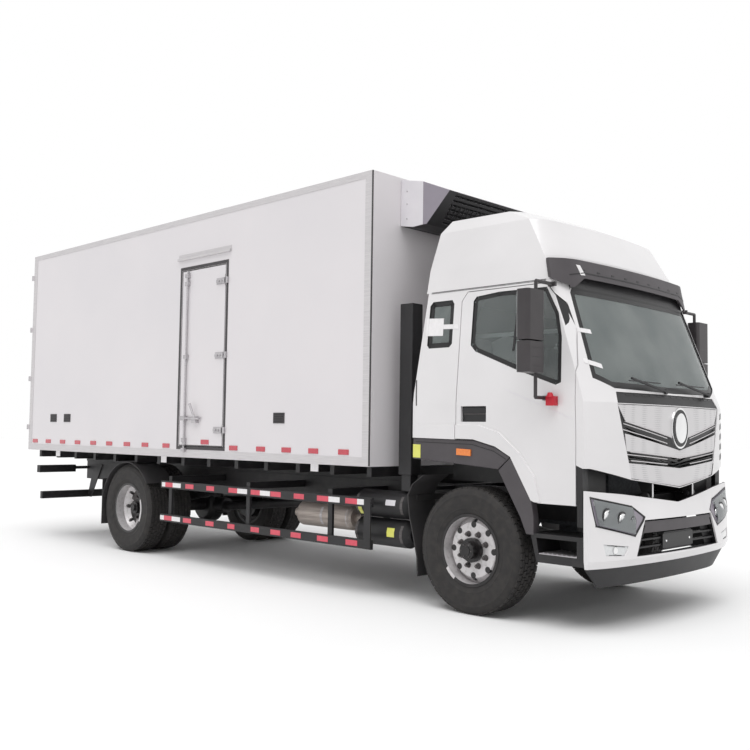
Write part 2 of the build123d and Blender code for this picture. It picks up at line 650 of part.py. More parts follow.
# Dark tray behind the air opening, with its slats and a bare plate holder
TRAY_BACK = BOX_FRONT + 2235.0
TRAY_LAP = 8.0
TRAY_SLATS_Z = (615.0, 672.0, 729.0, 786.0)
TRAY_SLAT_HEIGHT = 14.0
TRAY_SLAT_FRONT = TRAY_BACK + 32.0
PLATE_HALF_WIDTH = 235.0
PLATE_Z = (570.0, 712.0)
PLATE_PROUD = 8.0
PLATE_HOLE_RADIUS = 3.5
PLATE_HOLE_SPACING = 400.0
with BuildPart() as bumper_grille:
    lofted_body(BUMPER_SECTIONS, inset=BUMPER_WALL + TOUCH_GAP)
    lofted_body(BUMPER_SECTIONS, inset=72.0, mode=Mode.SUBTRACT)
    across_plate(AIR_OPENING, TRAY_BACK - 40.0, AHEAD_OF_NOSE, mode=Mode.INTERSECT, grow=TRAY_LAP)
    across_plate(AIR_OPENING, TRAY_BACK, AHEAD_OF_NOSE, mode=Mode.SUBTRACT)
    for slat_z in TRAY_SLATS_Z:
        slope = (AIR_OPENING[0][0] - AIR_OPENING[1][0]) / (AIR_OPENING[0][1] - AIR_OPENING[1][1])
        slat_half = -(AIR_OPENING[0][0] + slope * (slat_z - AIR_OPENING[0][1]))
        block(
            (TRAY_BACK - 5.0, TRAY_SLAT_FRONT),
            (-slat_half - 4.0, slat_half + 4.0),
            (slat_z - TRAY_SLAT_HEIGHT / 2, slat_z + TRAY_SLAT_HEIGHT / 2),
        )
    block((TRAY_BACK - 5.0, TRAY_SLAT_FRONT + PLATE_PROUD), (-PLATE_HALF_WIDTH, PLATE_HALF_WIDTH), PLATE_Z)
    for side, side_name in SIDES:
        bar_x(
            side * PLATE_HOLE_SPACING / 2,
            sum(PLATE_Z) / 2,
            PLATE_HOLE_RADIUS,
            TRAY_SLAT_FRONT,
            TRAY_SLAT_FRONT + PLATE_PROUD + 1.0,
            mode=Mode.SUBTRACT,
        )
finish(bumper_grille, "bumper_grille")

# Lower black valance, tucked up behind the bumper's lip
STEP_FRONT_X = 2112.0
VALANCE_WALL = 12.0
VALANCE_SECTIONS = (
    (330.0, 2207.0, 2180.0, 700.0, 2120.0, 985.0, 1900.0, 990.0),
    (470.0, 2268.0, 2216.0, 780.0, 2138.0, 1140.0, 1900.0, 1150.0),
    (505.0, 2276.0, 2227.0, 793.0, 2142.0, 1158.0, 1900.0, 1166.0),
)
with BuildPart() as front_valance:
    lofted_body(VALANCE_SECTIONS)
    lofted_body(VALANCE_SECTIONS, inset=VALANCE_WALL, mode=Mode.SUBTRACT)
    block(
        (BEHIND_BUMPER, BOX_FRONT + STEP_FRONT_X), (-HALF_BOX, HALF_BOX), (0.0, ABOVE_BUMPER), mode=Mode.SUBTRACT
    )
finish(front_valance, "front_valance")

# Cab steps on the frame, each with a foot recess, and the part of the wheel arch that stays with them
STEP_OUTER_Y = 1160.0
STEP_INNER_Y = 820.0
STEP_WALL = 30.0
STEP_PROFILE = ((1632.0, 715.0), (1690.0, 494.0), (STEP_FRONT_X, 494.0), (STEP_FRONT_X, 715.0))
FOOT_RECESS = ((1712.0, 560.0), (2050.0, 560.0), (2050.0, 680.0), (1690.0, 680.0))
ARCH_FRONT_OUTER = ((1447.0, 1293.0), (1646.0, 960.0), (1668.0, 832.0), (1668.0, 700.0))
ARCH_FRONT_INNER = ((1600.0, 700.0), (1545.0, 823.0), (1327.0, 1185.0))
ARCH_OUTER_Y = 1168.0
ARCH_INNER_Y = 1095.0


def ahead(points):
    """Outline points measured from the front of the load box, moved to their place."""
    return tuple((BOX_FRONT + x, z) for x, z in points)


with BuildPart() as cab_steps:
    for side, side_name in SIDES:
        side_plate(ahead(STEP_PROFILE), side * STEP_INNER_Y, side * STEP_OUTER_Y)
        side_plate(
            ahead(FOOT_RECESS), side * (STEP_INNER_Y + STEP_WALL), side * (STEP_OUTER_Y + 10.0), mode=Mode.SUBTRACT
        )
        side_plate(ahead(ARCH_FRONT_OUTER + ARCH_FRONT_INNER), side * ARCH_INNER_Y, side * ARCH_OUTER_Y)
        block(
            (BOX_FRONT + 1860.0, BOX_FRONT + 1940.0),
            sorted((side * RAIL_OUTER_Y, side * (STEP_INNER_Y + STEP_WALL))),
            (RAIL_BOTTOM_Z - 60.0, RAIL_BOTTOM_Z + 60.0),
        )
finish(cab_steps, "cab_steps")

# Front mudguards behind the wheel: a curved sheet on an arm from the frame, with a hanging flap
GUARD_SHEET = 12.0
GUARD_INNER_Y = 800.0
FLAP_BOTTOM_Z = 240.0
FRONT_GUARD = ((507.0, 1114.0), (380.0, 1030.0), (325.0, 930.0), (345.0, 760.0), (400.0, 560.0), (440.0, 400.0))
with BuildPart() as front_mudguards:
    for side, side_name in SIDES:
        outer_line = ahead(FRONT_GUARD + ((448.0, FLAP_BOTTOM_Z),))
        inner_line = tuple((x + GUARD_SHEET, z) for x, z in reversed(outer_line))
        side_plate(outer_line + inner_line, side * GUARD_INNER_Y, side * (STEP_OUTER_Y - 10.0))
        block(
            (BOX_FRONT + 290.0, BOX_FRONT + 345.0),
            sorted((side * RAIL_OUTER_Y, side * (STEP_OUTER_Y - 120.0))),
            (880.0, 930.0),
        )
finish(front_mudguards, "front_mudguards")


def section_at(sections, z):
    """The level outline of a body at any height, between the two rows round it."""
    for low, high in zip(sections, sections[1:]):
        if low[0] <= z <= high[0]:
            share = (z - low[0]) / (high[0] - low[0])
            return tuple(a + share * (b - a) for a, b in zip(low, high))
    raise ValueError("no section at this height")


def between(sections, low_z, high_z):
    """The rows of a body from one height to another."""
    middle = [row for row in sections if low_z < row[0] < high_z]
    return [section_at(sections, low_z), *middle, section_at(sections, high_z)]


# Cab: one hollow body, with the door, window and front panel openings cut through its walls
CAB_SECTIONS = (
    # z, nose, shoulder x, shoulder y, side x, half width, back, half width at the back
    (790.0, 2288.0, 2220.0, 800.0, 2112.0, 1160.0, 400.0, 1165.0),
    (1250.0, 2302.0, 2236.0, 815.0, 2125.0, 1166.0, 400.0, 1170.0),
    (1730.0, 2298.0, 2229.0, 862.0, 2110.0, 1166.0, 400.0, 1170.0),
    (1820.0, 2240.0, 2191.0, 835.0, 2085.0, 1160.0, 405.0, 1165.0),
    (CAB_ROOF_Z, 1884.0, 1856.0, 800.0, 1772.0, 1092.0, 500.0, 1088.0),
)
CAB_SKIRT_Z = 790.0
CAB_FLOOR_TOP_Z = CAB_FLOOR_Z + CAB_FLOOR_THICKNESS
CAB_INNER_Y = 1080.0
DOORWAY_Y = CAB_INNER_Y - 60.0
SKIRT_FRONT = 1660.0
PILLAR_REAR = 2056.0
PILLAR_FRONT = 2104.0
ARCH_OUTER = ((300.0, 1437.0), (1075.0, 1424.0), (1300.0, 1370.0), (1447.0, 1293.0), (1646.0, 960.0))
DOOR_OUTLINE = (
    (880.0, 1427.3),
    (880.0, 2600.0),
    (940.0, 2678.0),
    (1735.0, 2678.0),
    (1927.0, 2453.0),
    (2035.0, 2009.0),
    (2050.0, 1500.0),
    (2050.0, 940.0),
    (1700.0, 940.0),
    (1646.0, 960.0),
    (1447.0, 1293.0),
    (1300.0, 1370.0),
    (1075.0, 1424.0),
)
DOOR_WINDOW = (
    (1006.0, 2215.0),
    (1010.0, 2590.0),
    (1040.0, 2625.0),
    (1270.0, 2645.0),
    (1738.0, 2640.0),
    (1858.0, 2425.0),
    (1896.0, 2240.0),
    (1908.0, 1880.0),
    (1860.0, 1862.0),
    (1478.0, 1995.0),
    (1060.0, 2160.0),
)
HANDLE_RECESS = ((936.0, 1200.0), (1574.0, 1704.0))
HANDLE_DEPTH = 24.0
HANDLE_BAR_MARGIN = 14.0
HANDLE_BAR_HEIGHT = 44.0
QUARTER_WINDOW = (
    (545.0, 2210.0),
    (520.0, 2240.0),
    (528.0, 2585.0),
    (560.0, 2620.0),
    (775.0, 2620.0),
    (800.0, 2585.0),
    (800.0, 2240.0),
    (770.0, 2210.0),
)
WINDSCREEN = (
    (-1030.0, 1915.0),
    (-835.0, 1842.0),
    (0.0, 1828.0),
    (835.0, 1842.0),
    (1030.0, 1915.0),
    (962.0, 2600.0),
    (930.0, 2642.0),
    (-930.0, 2642.0),
    (-962.0, 2600.0),
)
GRILLE = ((-870.0, 1722.0), (870.0, 1722.0), (700.0, 1145.0), (0.0, 1064.0), (-700.0, 1145.0))
COWL = ((-835.0, 1815.0), (835.0, 1815.0), (868.0, 1728.0), (-868.0, 1728.0))
FRONT_LOWER_EDGE = (
    (-HALF_BOX, 1228.0),
    (-1125.0, 1228.0),
    (-700.0, 1139.0),
    (0.0, 1058.0),
    (700.0, 1139.0),
    (1125.0, 1228.0),
    (HALF_BOX, 1228.0),
)
STEP_WELL_WALL = 40.0
STEP_WELL = ((1664.0, 2048.0), (740.0, CAB_INNER_Y), (955.0, CAB_FLOOR_Z))
CAB_LUG_HALF_WIDTH = 12.0
CAB_LUG_RADIUS = 40.0


def outer_side_plate(points, y_from, y_to, side, mode=Mode.ADD, grow=0.0):
    """A side plate on one flank, between two distances out from the middle."""
    side_plate(points, side * y_from, side * y_to, mode, grow)


def flank_y(sections, x, z):
    """Half the width of a body's side at one place."""
    row = section_at(sections, z)
    share = (x - BOX_FRONT - row[6]) / (row[4] - row[6])
    return row[7] + share * (row[5] - row[7])


def front_x(sections, y, z):
    """The front of a body at one place, close to its bowed outline."""
    row = section_at(sections, z)
    return BOX_FRONT + row[1] - (row[1] - row[2]) * (y / row[3]) ** 2


# The flare's foot lies within the thickness of the panel that it stands on
FLARE_BASE_Y = 1140.0
FLARE_FACE_Y = 1181.0
FLARE_SLOPE = 12.0
FLARE_OUTLINE = (
    (404.0, 1400.0),
    (404.0, 1560.0),
    (1130.0, 1560.0),
    (1340.0, 1500.0),
    (1540.0, 1340.0),
    (1690.0, 1150.0),
    (1745.0, 942.0),
    (1600.0, 942.0),
    (1400.0, 1250.0),
    (1200.0, 1360.0),
)


def pressed_plate(points, y_base, y_face, side, slope):
    """A raised panel on one flank, its edges sloping in to its face."""
    outlines = []
    for place_y, inward in ((y_base, 0.0), (y_face, slope)):
        with BuildSketch(side_plane(side * place_y)) as outline:
            with BuildLine():
                Polyline(*points, close=True)
            make_face()
            if inward:
                offset(amount=-inward, kind=Kind.INTERSECTION)
        outlines.append(outline.sketch)
    loft(outlines, ruled=True)


with BuildPart() as cab_shell:
    lofted_body(CAB_SECTIONS)
    for side, side_name in SIDES:
        pressed_plate(ahead(FLARE_OUTLINE), FLARE_BASE_Y, FLARE_FACE_Y, side, FLARE_SLOPE)
    lofted_body(
        between(CAB_SECTIONS, CAB_FLOOR_TOP_Z, CAB_ROOF_Z - CAB_WALL), inset=CAB_WALL, mode=Mode.SUBTRACT
    )
    lofted_body(between(CAB_SECTIONS, CAB_SKIRT_Z, CAB_FLOOR_Z), inset=CAB_WALL, mode=Mode.SUBTRACT)
    block(
        (BOX_FRONT + 300.0, BOX_FRONT + SKIRT_FRONT),
        (-HALF_BOX, HALF_BOX),
        (CAB_SKIRT_Z - 10.0, CAB_FLOOR_Z),
        mode=Mode.SUBTRACT,
    )
    block(
        (BOX_FRONT + 300.0, BOX_FRONT + PILLAR_REAR),
        (-HALF_BOX, HALF_BOX),
        (CAB_SKIRT_Z - 10.0, STEP_WELL[2][0]),
        mode=Mode.SUBTRACT,
    )
    front_cut = FRONT_LOWER_EDGE + ((HALF_BOX, CAB_SKIRT_Z - 10.0), (-HALF_BOX, CAB_SKIRT_Z - 10.0))
    across_plate(front_cut, BOX_FRONT + PILLAR_FRONT, AHEAD_OF_NOSE, mode=Mode.SUBTRACT)
    for side, side_name in SIDES:
        arch_cut = ahead(ARCH_OUTER + ((SKIRT_FRONT, CAB_SKIRT_Z - 10.0), (300.0, CAB_SKIRT_Z - 10.0)))
        outer_side_plate(arch_cut, CAB_INNER_Y, HALF_BOX, side, mode=Mode.SUBTRACT)
        well_x = (BOX_FRONT + STEP_WELL[0][0], BOX_FRONT + STEP_WELL[0][1])
        well_y = (side * STEP_WELL[1][0], side * STEP_WELL[1][1])
        block(well_x, sorted(well_y), STEP_WELL[2])
        block(
            (well_x[0] + STEP_WELL_WALL, well_x[1] - STEP_WELL_WALL),
            sorted((side * (STEP_WELL[1][0] + STEP_WELL_WALL), side * (CAB_INNER_Y + 10.0))),
            (STEP_WELL[2][0] + STEP_WELL_WALL, CAB_FLOOR_TOP_Z + 10.0),
            mode=Mode.SUBTRACT,
        )
        outer_side_plate(ahead(DOOR_OUTLINE), DOORWAY_Y, HALF_BOX, side, mode=Mode.SUBTRACT)
        outer_side_plate(ahead(QUARTER_WINDOW), CAB_INNER_Y - 80.0, HALF_BOX, side, mode=Mode.SUBTRACT)
        lug_span = sorted((side * (HINGE_LUG_Y - 60.0), side * (HINGE_LUG_Y - 60.0 + 2 * CAB_LUG_HALF_WIDTH)))
        cab_lug = (
            (CAB_PIVOT_X - 150.0, CAB_FLOOR_Z),
            (CAB_PIVOT_X - CAB_LUG_RADIUS, CAB_PIVOT_Z),
            (CAB_PIVOT_X + CAB_LUG_RADIUS, CAB_PIVOT_Z),
            (CAB_PIVOT_X + CAB_LUG_RADIUS, CAB_FLOOR_Z),
        )
        side_plate(cab_lug, *lug_span)
        bar_y(CAB_PIVOT_X, CAB_PIVOT_Z, CAB_LUG_RADIUS, *lug_span)
        bar_y(CAB_PIVOT_X, CAB_PIVOT_Z, PIVOT_PIN_RADIUS + TOUCH_GAP, *lug_span, mode=Mode.SUBTRACT)
    screen_behind = BOX_FRONT + 1650.0
    across_plate(WINDSCREEN, screen_behind, AHEAD_OF_NOSE, mode=Mode.SUBTRACT)
    across_plates([GRILLE, COWL], BOX_FRONT + 2120.0, AHEAD_OF_NOSE, mode=Mode.SUBTRACT)
finish(cab_shell, "cab_shell")

# Window glass of the cab, and the windscreen, set into their openings
GLASS_GAP = 0.3
GLASS_SINK = 12.0
with BuildPart() as windscreen:
    lofted_body(between(CAB_SECTIONS, 1820.0, CAB_ROOF_Z), inset=GLASS_SINK)
    lofted_body(between(CAB_SECTIONS, 1820.0, CAB_ROOF_Z), inset=GLASS_SINK + GLASS_THICKNESS, mode=Mode.SUBTRACT)
    across_plate(WINDSCREEN, screen_behind, AHEAD_OF_NOSE, mode=Mode.INTERSECT, grow=-GLASS_GAP)
finish(windscreen, "windscreen")

with BuildPart() as quarter_windows:
    lofted_body(between(CAB_SECTIONS, 1820.0, CAB_ROOF_Z), inset=GLASS_SINK)
    lofted_body(between(CAB_SECTIONS, 1820.0, CAB_ROOF_Z), inset=GLASS_SINK + GLASS_THICKNESS, mode=Mode.SUBTRACT)
    side_plate(ahead(QUARTER_WINDOW), -HALF_BOX, HALF_BOX, mode=Mode.INTERSECT, grow=-GLASS_GAP)
finish(quarter_windows, "quarter_windows")

# Front grille panel with two V-shaped louvres, and the dark cowl above it
PANEL_SINK = 10.0
PANEL_THICKNESS = 26.0
LOUVRES = (
    # z at the side, z in the middle, height, half width
    (1545.0, 1345.0, 78.0, 768.0),
    (1345.0, 1262.0, 78.0, 728.0),
)
with BuildPart() as grille_panel:
    lofted_body(between(CAB_SECTIONS, 900.0, 1800.0), inset=PANEL_SINK)
    lofted_body(between(CAB_SECTIONS, 900.0, 1800.0), inset=PANEL_SINK + PANEL_THICKNESS, mode=Mode.SUBTRACT)
    across_plate(GRILLE, BOX_FRONT + 2120.0, AHEAD_OF_NOSE, mode=Mode.INTERSECT, grow=-GLASS_GAP)
    for side_z, middle_z, height, half in LOUVRES:
        louvre = (
            (-half, side_z),
            (0.0, middle_z),
            (half, side_z),
            (half, side_z - height),
            (0.0, middle_z - height),
            (-half, side_z - height),
        )
        across_plate(louvre, BOX_FRONT + 2120.0, AHEAD_OF_NOSE, mode=Mode.SUBTRACT)
        for share in (0.18, 0.5, 0.82):
            blade_z = height * share
            blade = (
                (-half - 2.0, side_z - blade_z + 6.0),
                (0.0, middle_z - blade_z + 6.0),
                (half + 2.0, side_z - blade_z + 6.0),
                (half + 2.0, side_z - blade_z - 6.0),
                (0.0, middle_z - blade_z - 6.0),
                (-half - 2.0, side_z - blade_z - 6.0),
            )
            across_plate(blade, BOX_FRONT + 2185.0, BOX_FRONT + 2236.0)
finish(grille_panel, "grille_panel")

with BuildPart() as cowl_panel:
    lofted_body(between(CAB_SECTIONS, 1700.0, 1900.0), inset=6.0)
    lofted_body(between(CAB_SECTIONS, 1700.0, 1900.0), inset=30.0, mode=Mode.SUBTRACT)
    across_plate(COWL, BOX_FRONT + 2120.0, AHEAD_OF_NOSE, mode=Mode.INTERSECT, grow=-GLASS_GAP)
finish(cowl_panel, "cowl_panel")

FAIRING_WALL = 20.0
FAIRING_SECTIONS = (
    (CAB_ROOF_Z, 1884.0, 1850.0, 800.0, 1760.0, 1086.0, 470.0, 1082.0),
    (2910.0, 1850.0, 1795.0, 793.0, 1690.0, 1060.0, 490.0, 1060.0),
    (3240.0, 1650.0, 1600.0, 780.0, 1490.0, 990.0, 555.0, 1000.0),
    (3350.0, 1400.0, 1345.0, 720.0, 1240.0, 920.0, 640.0, 940.0),
)

# Sun visor in front of the windscreen's head, its lower edge scooped in the middle
VISOR_WALL = 14.0
VISOR_SECTIONS = (
    (2640.0, 1945.0, 1905.0, 850.0, 1800.0, 1112.0, 1500.0, 1100.0),
    (2875.0, 1912.0, 1868.0, 840.0, 1745.0, 1086.0, 1500.0, 1080.0),
)
VISOR_REAR_CUT = (
    (1722.0, 2900.0),
    (1722.0, 2851.0),
    (1753.0, 2718.0),
    (1873.0, 2654.0),
    (1873.0, 2600.0),
    (1400.0, 2600.0),
    (1400.0, 2900.0),
)
VISOR_ARM_Y = (690.0, 730.0)
VISOR_ARM_Z = (2762.0, 2790.0)
with BuildPart() as sun_visor:
    lofted_body(VISOR_SECTIONS)
    lofted_body(VISOR_SECTIONS, inset=VISOR_WALL, mode=Mode.SUBTRACT)
    side_plate(ahead(VISOR_REAR_CUT), -HALF_BOX, HALF_BOX, mode=Mode.SUBTRACT)
    visor_low = ((-1000.0, 2600.0), (-800.0, 2728.0), (800.0, 2728.0), (1000.0, 2600.0))
    across_plate(visor_low, BOX_FRONT + 1400.0, AHEAD_OF_NOSE, mode=Mode.SUBTRACT)
    for side, side_name in SIDES:
        block(
            (
                front_x(FAIRING_SECTIONS, VISOR_ARM_Y[0], VISOR_ARM_Z[0]) + TOUCH_GAP,
                front_x(VISOR_SECTIONS, VISOR_ARM_Y[1], VISOR_ARM_Z[1]) - 2.0,
            ),
            sorted((side * VISOR_ARM_Y[0], side * VISOR_ARM_Y[1])),
            VISOR_ARM_Z,
        )
finish(sun_visor, "sun_visor")

# Roof fairing: a shell on the cab roof, open at the back
with BuildPart() as roof_fairing:
    lofted_body(FAIRING_SECTIONS)
    lofted_body(
        between(FAIRING_SECTIONS, CAB_ROOF_Z, FAIRING_SECTIONS[-1][0] - FAIRING_WALL),
        inset=FAIRING_WALL,
        mode=Mode.SUBTRACT,
    )
    back_opening = ((-940.0, CAB_ROOF_Z), (940.0, CAB_ROOF_Z), (880.0, 3230.0), (-880.0, 3230.0))
    across_plate(back_opening, BOX_FRONT + 300.0, BOX_FRONT + 700.0, mode=Mode.SUBTRACT)
finish(roof_fairing, "roof_fairing")

# Wheel arch trim on the cab, down to the joint with the piece that stays on the steps
ARCH_TRIM = (
    (404.0, 1435.0),
    (1075.0, 1423.0),
    (1298.0, 1369.0),
    (1440.0, 1294.0),
    (1322.0, 1192.0),
    (1061.0, 1212.0),
    (452.0, 1250.0),
    (404.0, 1250.0),
)
with BuildPart() as arch_trims:
    for side, side_name in SIDES:
        outer_side_plate(ahead(ARCH_TRIM), CAB_INNER_Y, ARCH_OUTER_Y, side)
finish(arch_trims, "arch_trims")

# Cab doors with their handles; window glass and mirror ride with each
DOOR_HINGE_X = BOX_FRONT + 2053.0
DOOR_HINGE_Y = 1170.0
MIRROR_X = (1735.0, 1855.0)
MIRROR_Y = (1290.0, 1510.0)
MIRROR_Z = (1945.0, 2575.0)
MIRROR_SPLIT_Z = 2185.0
MIRROR_ARM_RADIUS = 14.0
MIRROR_ARMS_Z = (1760.0, 2655.0)
MIRROR_PAD_HALF = 18.0
for side, side_name in SIDES:
    with BuildPart() as cab_door:
        lofted_body(between(CAB_SECTIONS, 900.0, CAB_ROOF_Z))
        lofted_body(between(CAB_SECTIONS, 900.0, CAB_ROOF_Z), inset=CAB_WALL, mode=Mode.SUBTRACT)
        pressed_plate(ahead(FLARE_OUTLINE), FLARE_BASE_Y, FLARE_FACE_Y, side, FLARE_SLOPE)
        outer_side_plate(ahead(DOOR_OUTLINE), DOORWAY_Y, HALF_BOX, side, mode=Mode.INTERSECT, grow=-PANEL_GAP)
        outer_side_plate(ahead(DOOR_WINDOW), DOORWAY_Y, HALF_BOX, side, mode=Mode.SUBTRACT)
        handle_x = (BOX_FRONT + HANDLE_RECESS[0][0], BOX_FRONT + HANDLE_RECESS[0][1])
        block(
            handle_x,
            sorted((side * (CAB_SECTIONS[1][5] - HANDLE_DEPTH), side * HALF_BOX)),
            HANDLE_RECESS[1],
            mode=Mode.SUBTRACT,
        )
        block(
            (handle_x[0] + HANDLE_BAR_MARGIN, handle_x[1] - HANDLE_BAR_MARGIN),
            sorted((side * (CAB_SECTIONS[1][5] - HANDLE_DEPTH), side * (CAB_SECTIONS[1][5] - HANDLE_DEPTH / 3))),
            (HANDLE_RECESS[1][1] - HANDLE_BAR_MARGIN - HANDLE_BAR_HEIGHT, HANDLE_RECESS[1][1] - HANDLE_BAR_MARGIN),
        )
    finish(cab_door, f"cab_door_{side_name}")

    with BuildPart() as door_glass:
        lofted_body(between(CAB_SECTIONS, 1820.0, CAB_ROOF_Z), inset=GLASS_SINK)
        lofted_body(
            between(CAB_SECTIONS, 1820.0, CAB_ROOF_Z), inset=GLASS_SINK + GLASS_THICKNESS, mode=Mode.SUBTRACT
        )
        outer_side_plate(ahead(DOOR_WINDOW), DOORWAY_Y, HALF_BOX, side, mode=Mode.INTERSECT, grow=-GLASS_GAP)
    finish(door_glass, f"door_glass_{side_name}")

    with BuildPart() as mirror_unit:
        for low, high in ((MIRROR_Z[0], MIRROR_SPLIT_Z - 5.0), (MIRROR_SPLIT_Z + 5.0, MIRROR_Z[1])):
            block(
                (BOX_FRONT + MIRROR_X[0], BOX_FRONT + MIRROR_X[1]),
                sorted((side * MIRROR_Y[0], side * MIRROR_Y[1])),
                (low, high),
            )
        fillet(edges().filter_by(Axis.Z), 30.0)
        stem_y = side * (MIRROR_Y[0] + 40.0)
        stem_x = BOX_FRONT + (MIRROR_X[0] + MIRROR_X[1]) / 2
        bar_z(stem_x, stem_y, MIRROR_ARM_RADIUS, MIRROR_ARMS_Z[0], MIRROR_ARMS_Z[1])
        for arm_z in MIRROR_ARMS_Z:
            door_face = flank_y(CAB_SECTIONS, stem_x, arm_z - MIRROR_PAD_HALF) + TOUCH_GAP
            bar_y(stem_x, arm_z, MIRROR_ARM_RADIUS, *sorted((stem_y, side * door_face)))
            block(
                (stem_x - 35.0, stem_x + 35.0),
                sorted((side * door_face, side * (door_face + 22.0))),
                (arm_z - MIRROR_PAD_HALF, arm_z + MIRROR_PAD_HALF),
            )
    finish(mirror_unit, f"mirror_{side_name}")

# Inside of the cab that shows through the glass: dashboard, steering wheel and two seats
DASH_PROFILE = (
    (2080.0, 1300.0),
    (2080.0, 1700.0),
    (2000.0, 1790.0),
    (1870.0, 1770.0),
    (1800.0, 1640.0),
    (1900.0, 1480.0),
    (1960.0, 1300.0),
)
DASH_HALF_WIDTH = 1010.0
STEERING_WHEEL_RADIUS = 225.0
STEERING_GRIP_RADIUS = 16.0
GRIP_FLATS = 6
STEERING_WHEEL_X = BOX_FRONT + 1690.0
STEERING_WHEEL_Y = 560.0
STEERING_WHEEL_Z = 1800.0
STEERING_TILT = 35.0
COLUMN_RADIUS = 32.0
COLUMN_LENGTH = 270.0
HORN_PAD_RADIUS = 62.0
wheel_plane = Plane(
    origin=(STEERING_WHEEL_X, STEERING_WHEEL_Y, STEERING_WHEEL_Z),
    x_dir=(0, 1, 0),
    z_dir=(-sin(radians(STEERING_TILT)), 0, cos(radians(STEERING_TILT))),
)
with BuildPart() as dashboard:
    side_plate(ahead(DASH_PROFILE), -DASH_HALF_WIDTH, DASH_HALF_WIDTH)
    with Locations(wheel_plane.offset(-COLUMN_LENGTH / 2).location):
        Cylinder(COLUMN_RADIUS + TOUCH_GAP, COLUMN_LENGTH + 2 * TOUCH_GAP, mode=Mode.SUBTRACT)
finish(dashboard, "dashboard")

with BuildPart() as steering_wheel:
    with BuildSketch(Plane(origin=wheel_plane.origin, x_dir=wheel_plane.x_dir, z_dir=wheel_plane.y_dir)) as grip:
        with Locations((STEERING_WHEEL_RADIUS, 0.0)):
            RegularPolygon(STEERING_GRIP_RADIUS, GRIP_FLATS)
    revolve(grip.sketch, axis=Axis(wheel_plane.origin, wheel_plane.z_dir))
    with Locations(wheel_plane.location):
        Cylinder(HORN_PAD_RADIUS, 2.5 * STEERING_GRIP_RADIUS)
        Box(2 * STEERING_WHEEL_RADIUS - STEERING_GRIP_RADIUS, 46.0, 14.0)
    with Locations(wheel_plane.offset(-COLUMN_LENGTH / 2).location):
        Cylinder(COLUMN_RADIUS, COLUMN_LENGTH)
finish(steering_wheel, "steering_wheel")

SEAT_X = (820.0, 1320.0)
SEAT_CUSHION_Z = (1300.0, 1640.0)
SEAT_BACK_TOP_Z = 2140.0
HEADREST_HEIGHT = 190.0
HEADREST_HALF = 140.0
SEAT_HALF_WIDTH = 250.0
SEAT_Y = 560.0
with BuildPart() as seats:
    for side, side_name in SIDES:
        seat_profile = (
            (SEAT_X[1], SEAT_CUSHION_Z[0]),
            (SEAT_X[1], SEAT_CUSHION_Z[1]),
            (SEAT_X[0] + 60.0, SEAT_CUSHION_Z[1] - 20.0),
            (SEAT_X[0] - 90.0, SEAT_BACK_TOP_Z),
            (SEAT_X[0] - 190.0, SEAT_BACK_TOP_Z),
            (SEAT_X[0] - 60.0, SEAT_CUSHION_Z[0]),
        )
        side_plate(ahead(seat_profile), side * (SEAT_Y - SEAT_HALF_WIDTH), side * (SEAT_Y + SEAT_HALF_WIDTH))
        head_profile = (
            (SEAT_X[0] - 90.0, SEAT_BACK_TOP_Z),
            (SEAT_X[0] - 110.0, SEAT_BACK_TOP_Z + HEADREST_HEIGHT),
            (SEAT_X[0] - 200.0, SEAT_BACK_TOP_Z + HEADREST_HEIGHT),
            (SEAT_X[0] - 190.0, SEAT_BACK_TOP_Z),
        )
        side_plate(ahead(head_profile), side * (SEAT_Y - HEADREST_HALF), side * (SEAT_Y + HEADREST_HALF))
finish(seats, "seats")

# Wipers lie along the foot of the windscreen, their pins seated in its lower rail
WIPER_PIVOTS_Y = (-140.0, 640.0)
WIPER_REACH_Y = 560.0
WIPER_PIVOT_Z = 1840.0
WIPER_TIP_Z = 1925.0
WIPER_THICK = 16.0
WIPER_PIN_RADIUS = 22.0
WIPER_LIFT = 3.0
with BuildPart() as wipers:
    for pivot_y in WIPER_PIVOTS_Y:
        tip_y = pivot_y - WIPER_REACH_Y
        arm = (
            (pivot_y, WIPER_PIVOT_Z - WIPER_THICK / 2),
            (pivot_y, WIPER_PIVOT_Z + WIPER_THICK / 2),
            (tip_y, WIPER_TIP_Z + WIPER_THICK / 2),
            (tip_y, WIPER_TIP_Z - WIPER_THICK / 2),
        )
        arm_x = max(front_x(CAB_SECTIONS, reach_y, WIPER_PIVOT_Z - WIPER_PIN_RADIUS) for reach_y in (pivot_y, tip_y, 0.0))
        across_plate(arm, arm_x + WIPER_LIFT, arm_x + WIPER_LIFT + WIPER_THICK)
        pin_foot = front_x(CAB_SECTIONS, pivot_y, WIPER_PIVOT_Z - WIPER_PIN_RADIUS) + TOUCH_GAP
        bar_x(pivot_y, WIPER_PIVOT_Z, WIPER_PIN_RADIUS, pin_foot, arm_x + WIPER_LIFT + WIPER_THICK)
finish(wipers, "wipers")

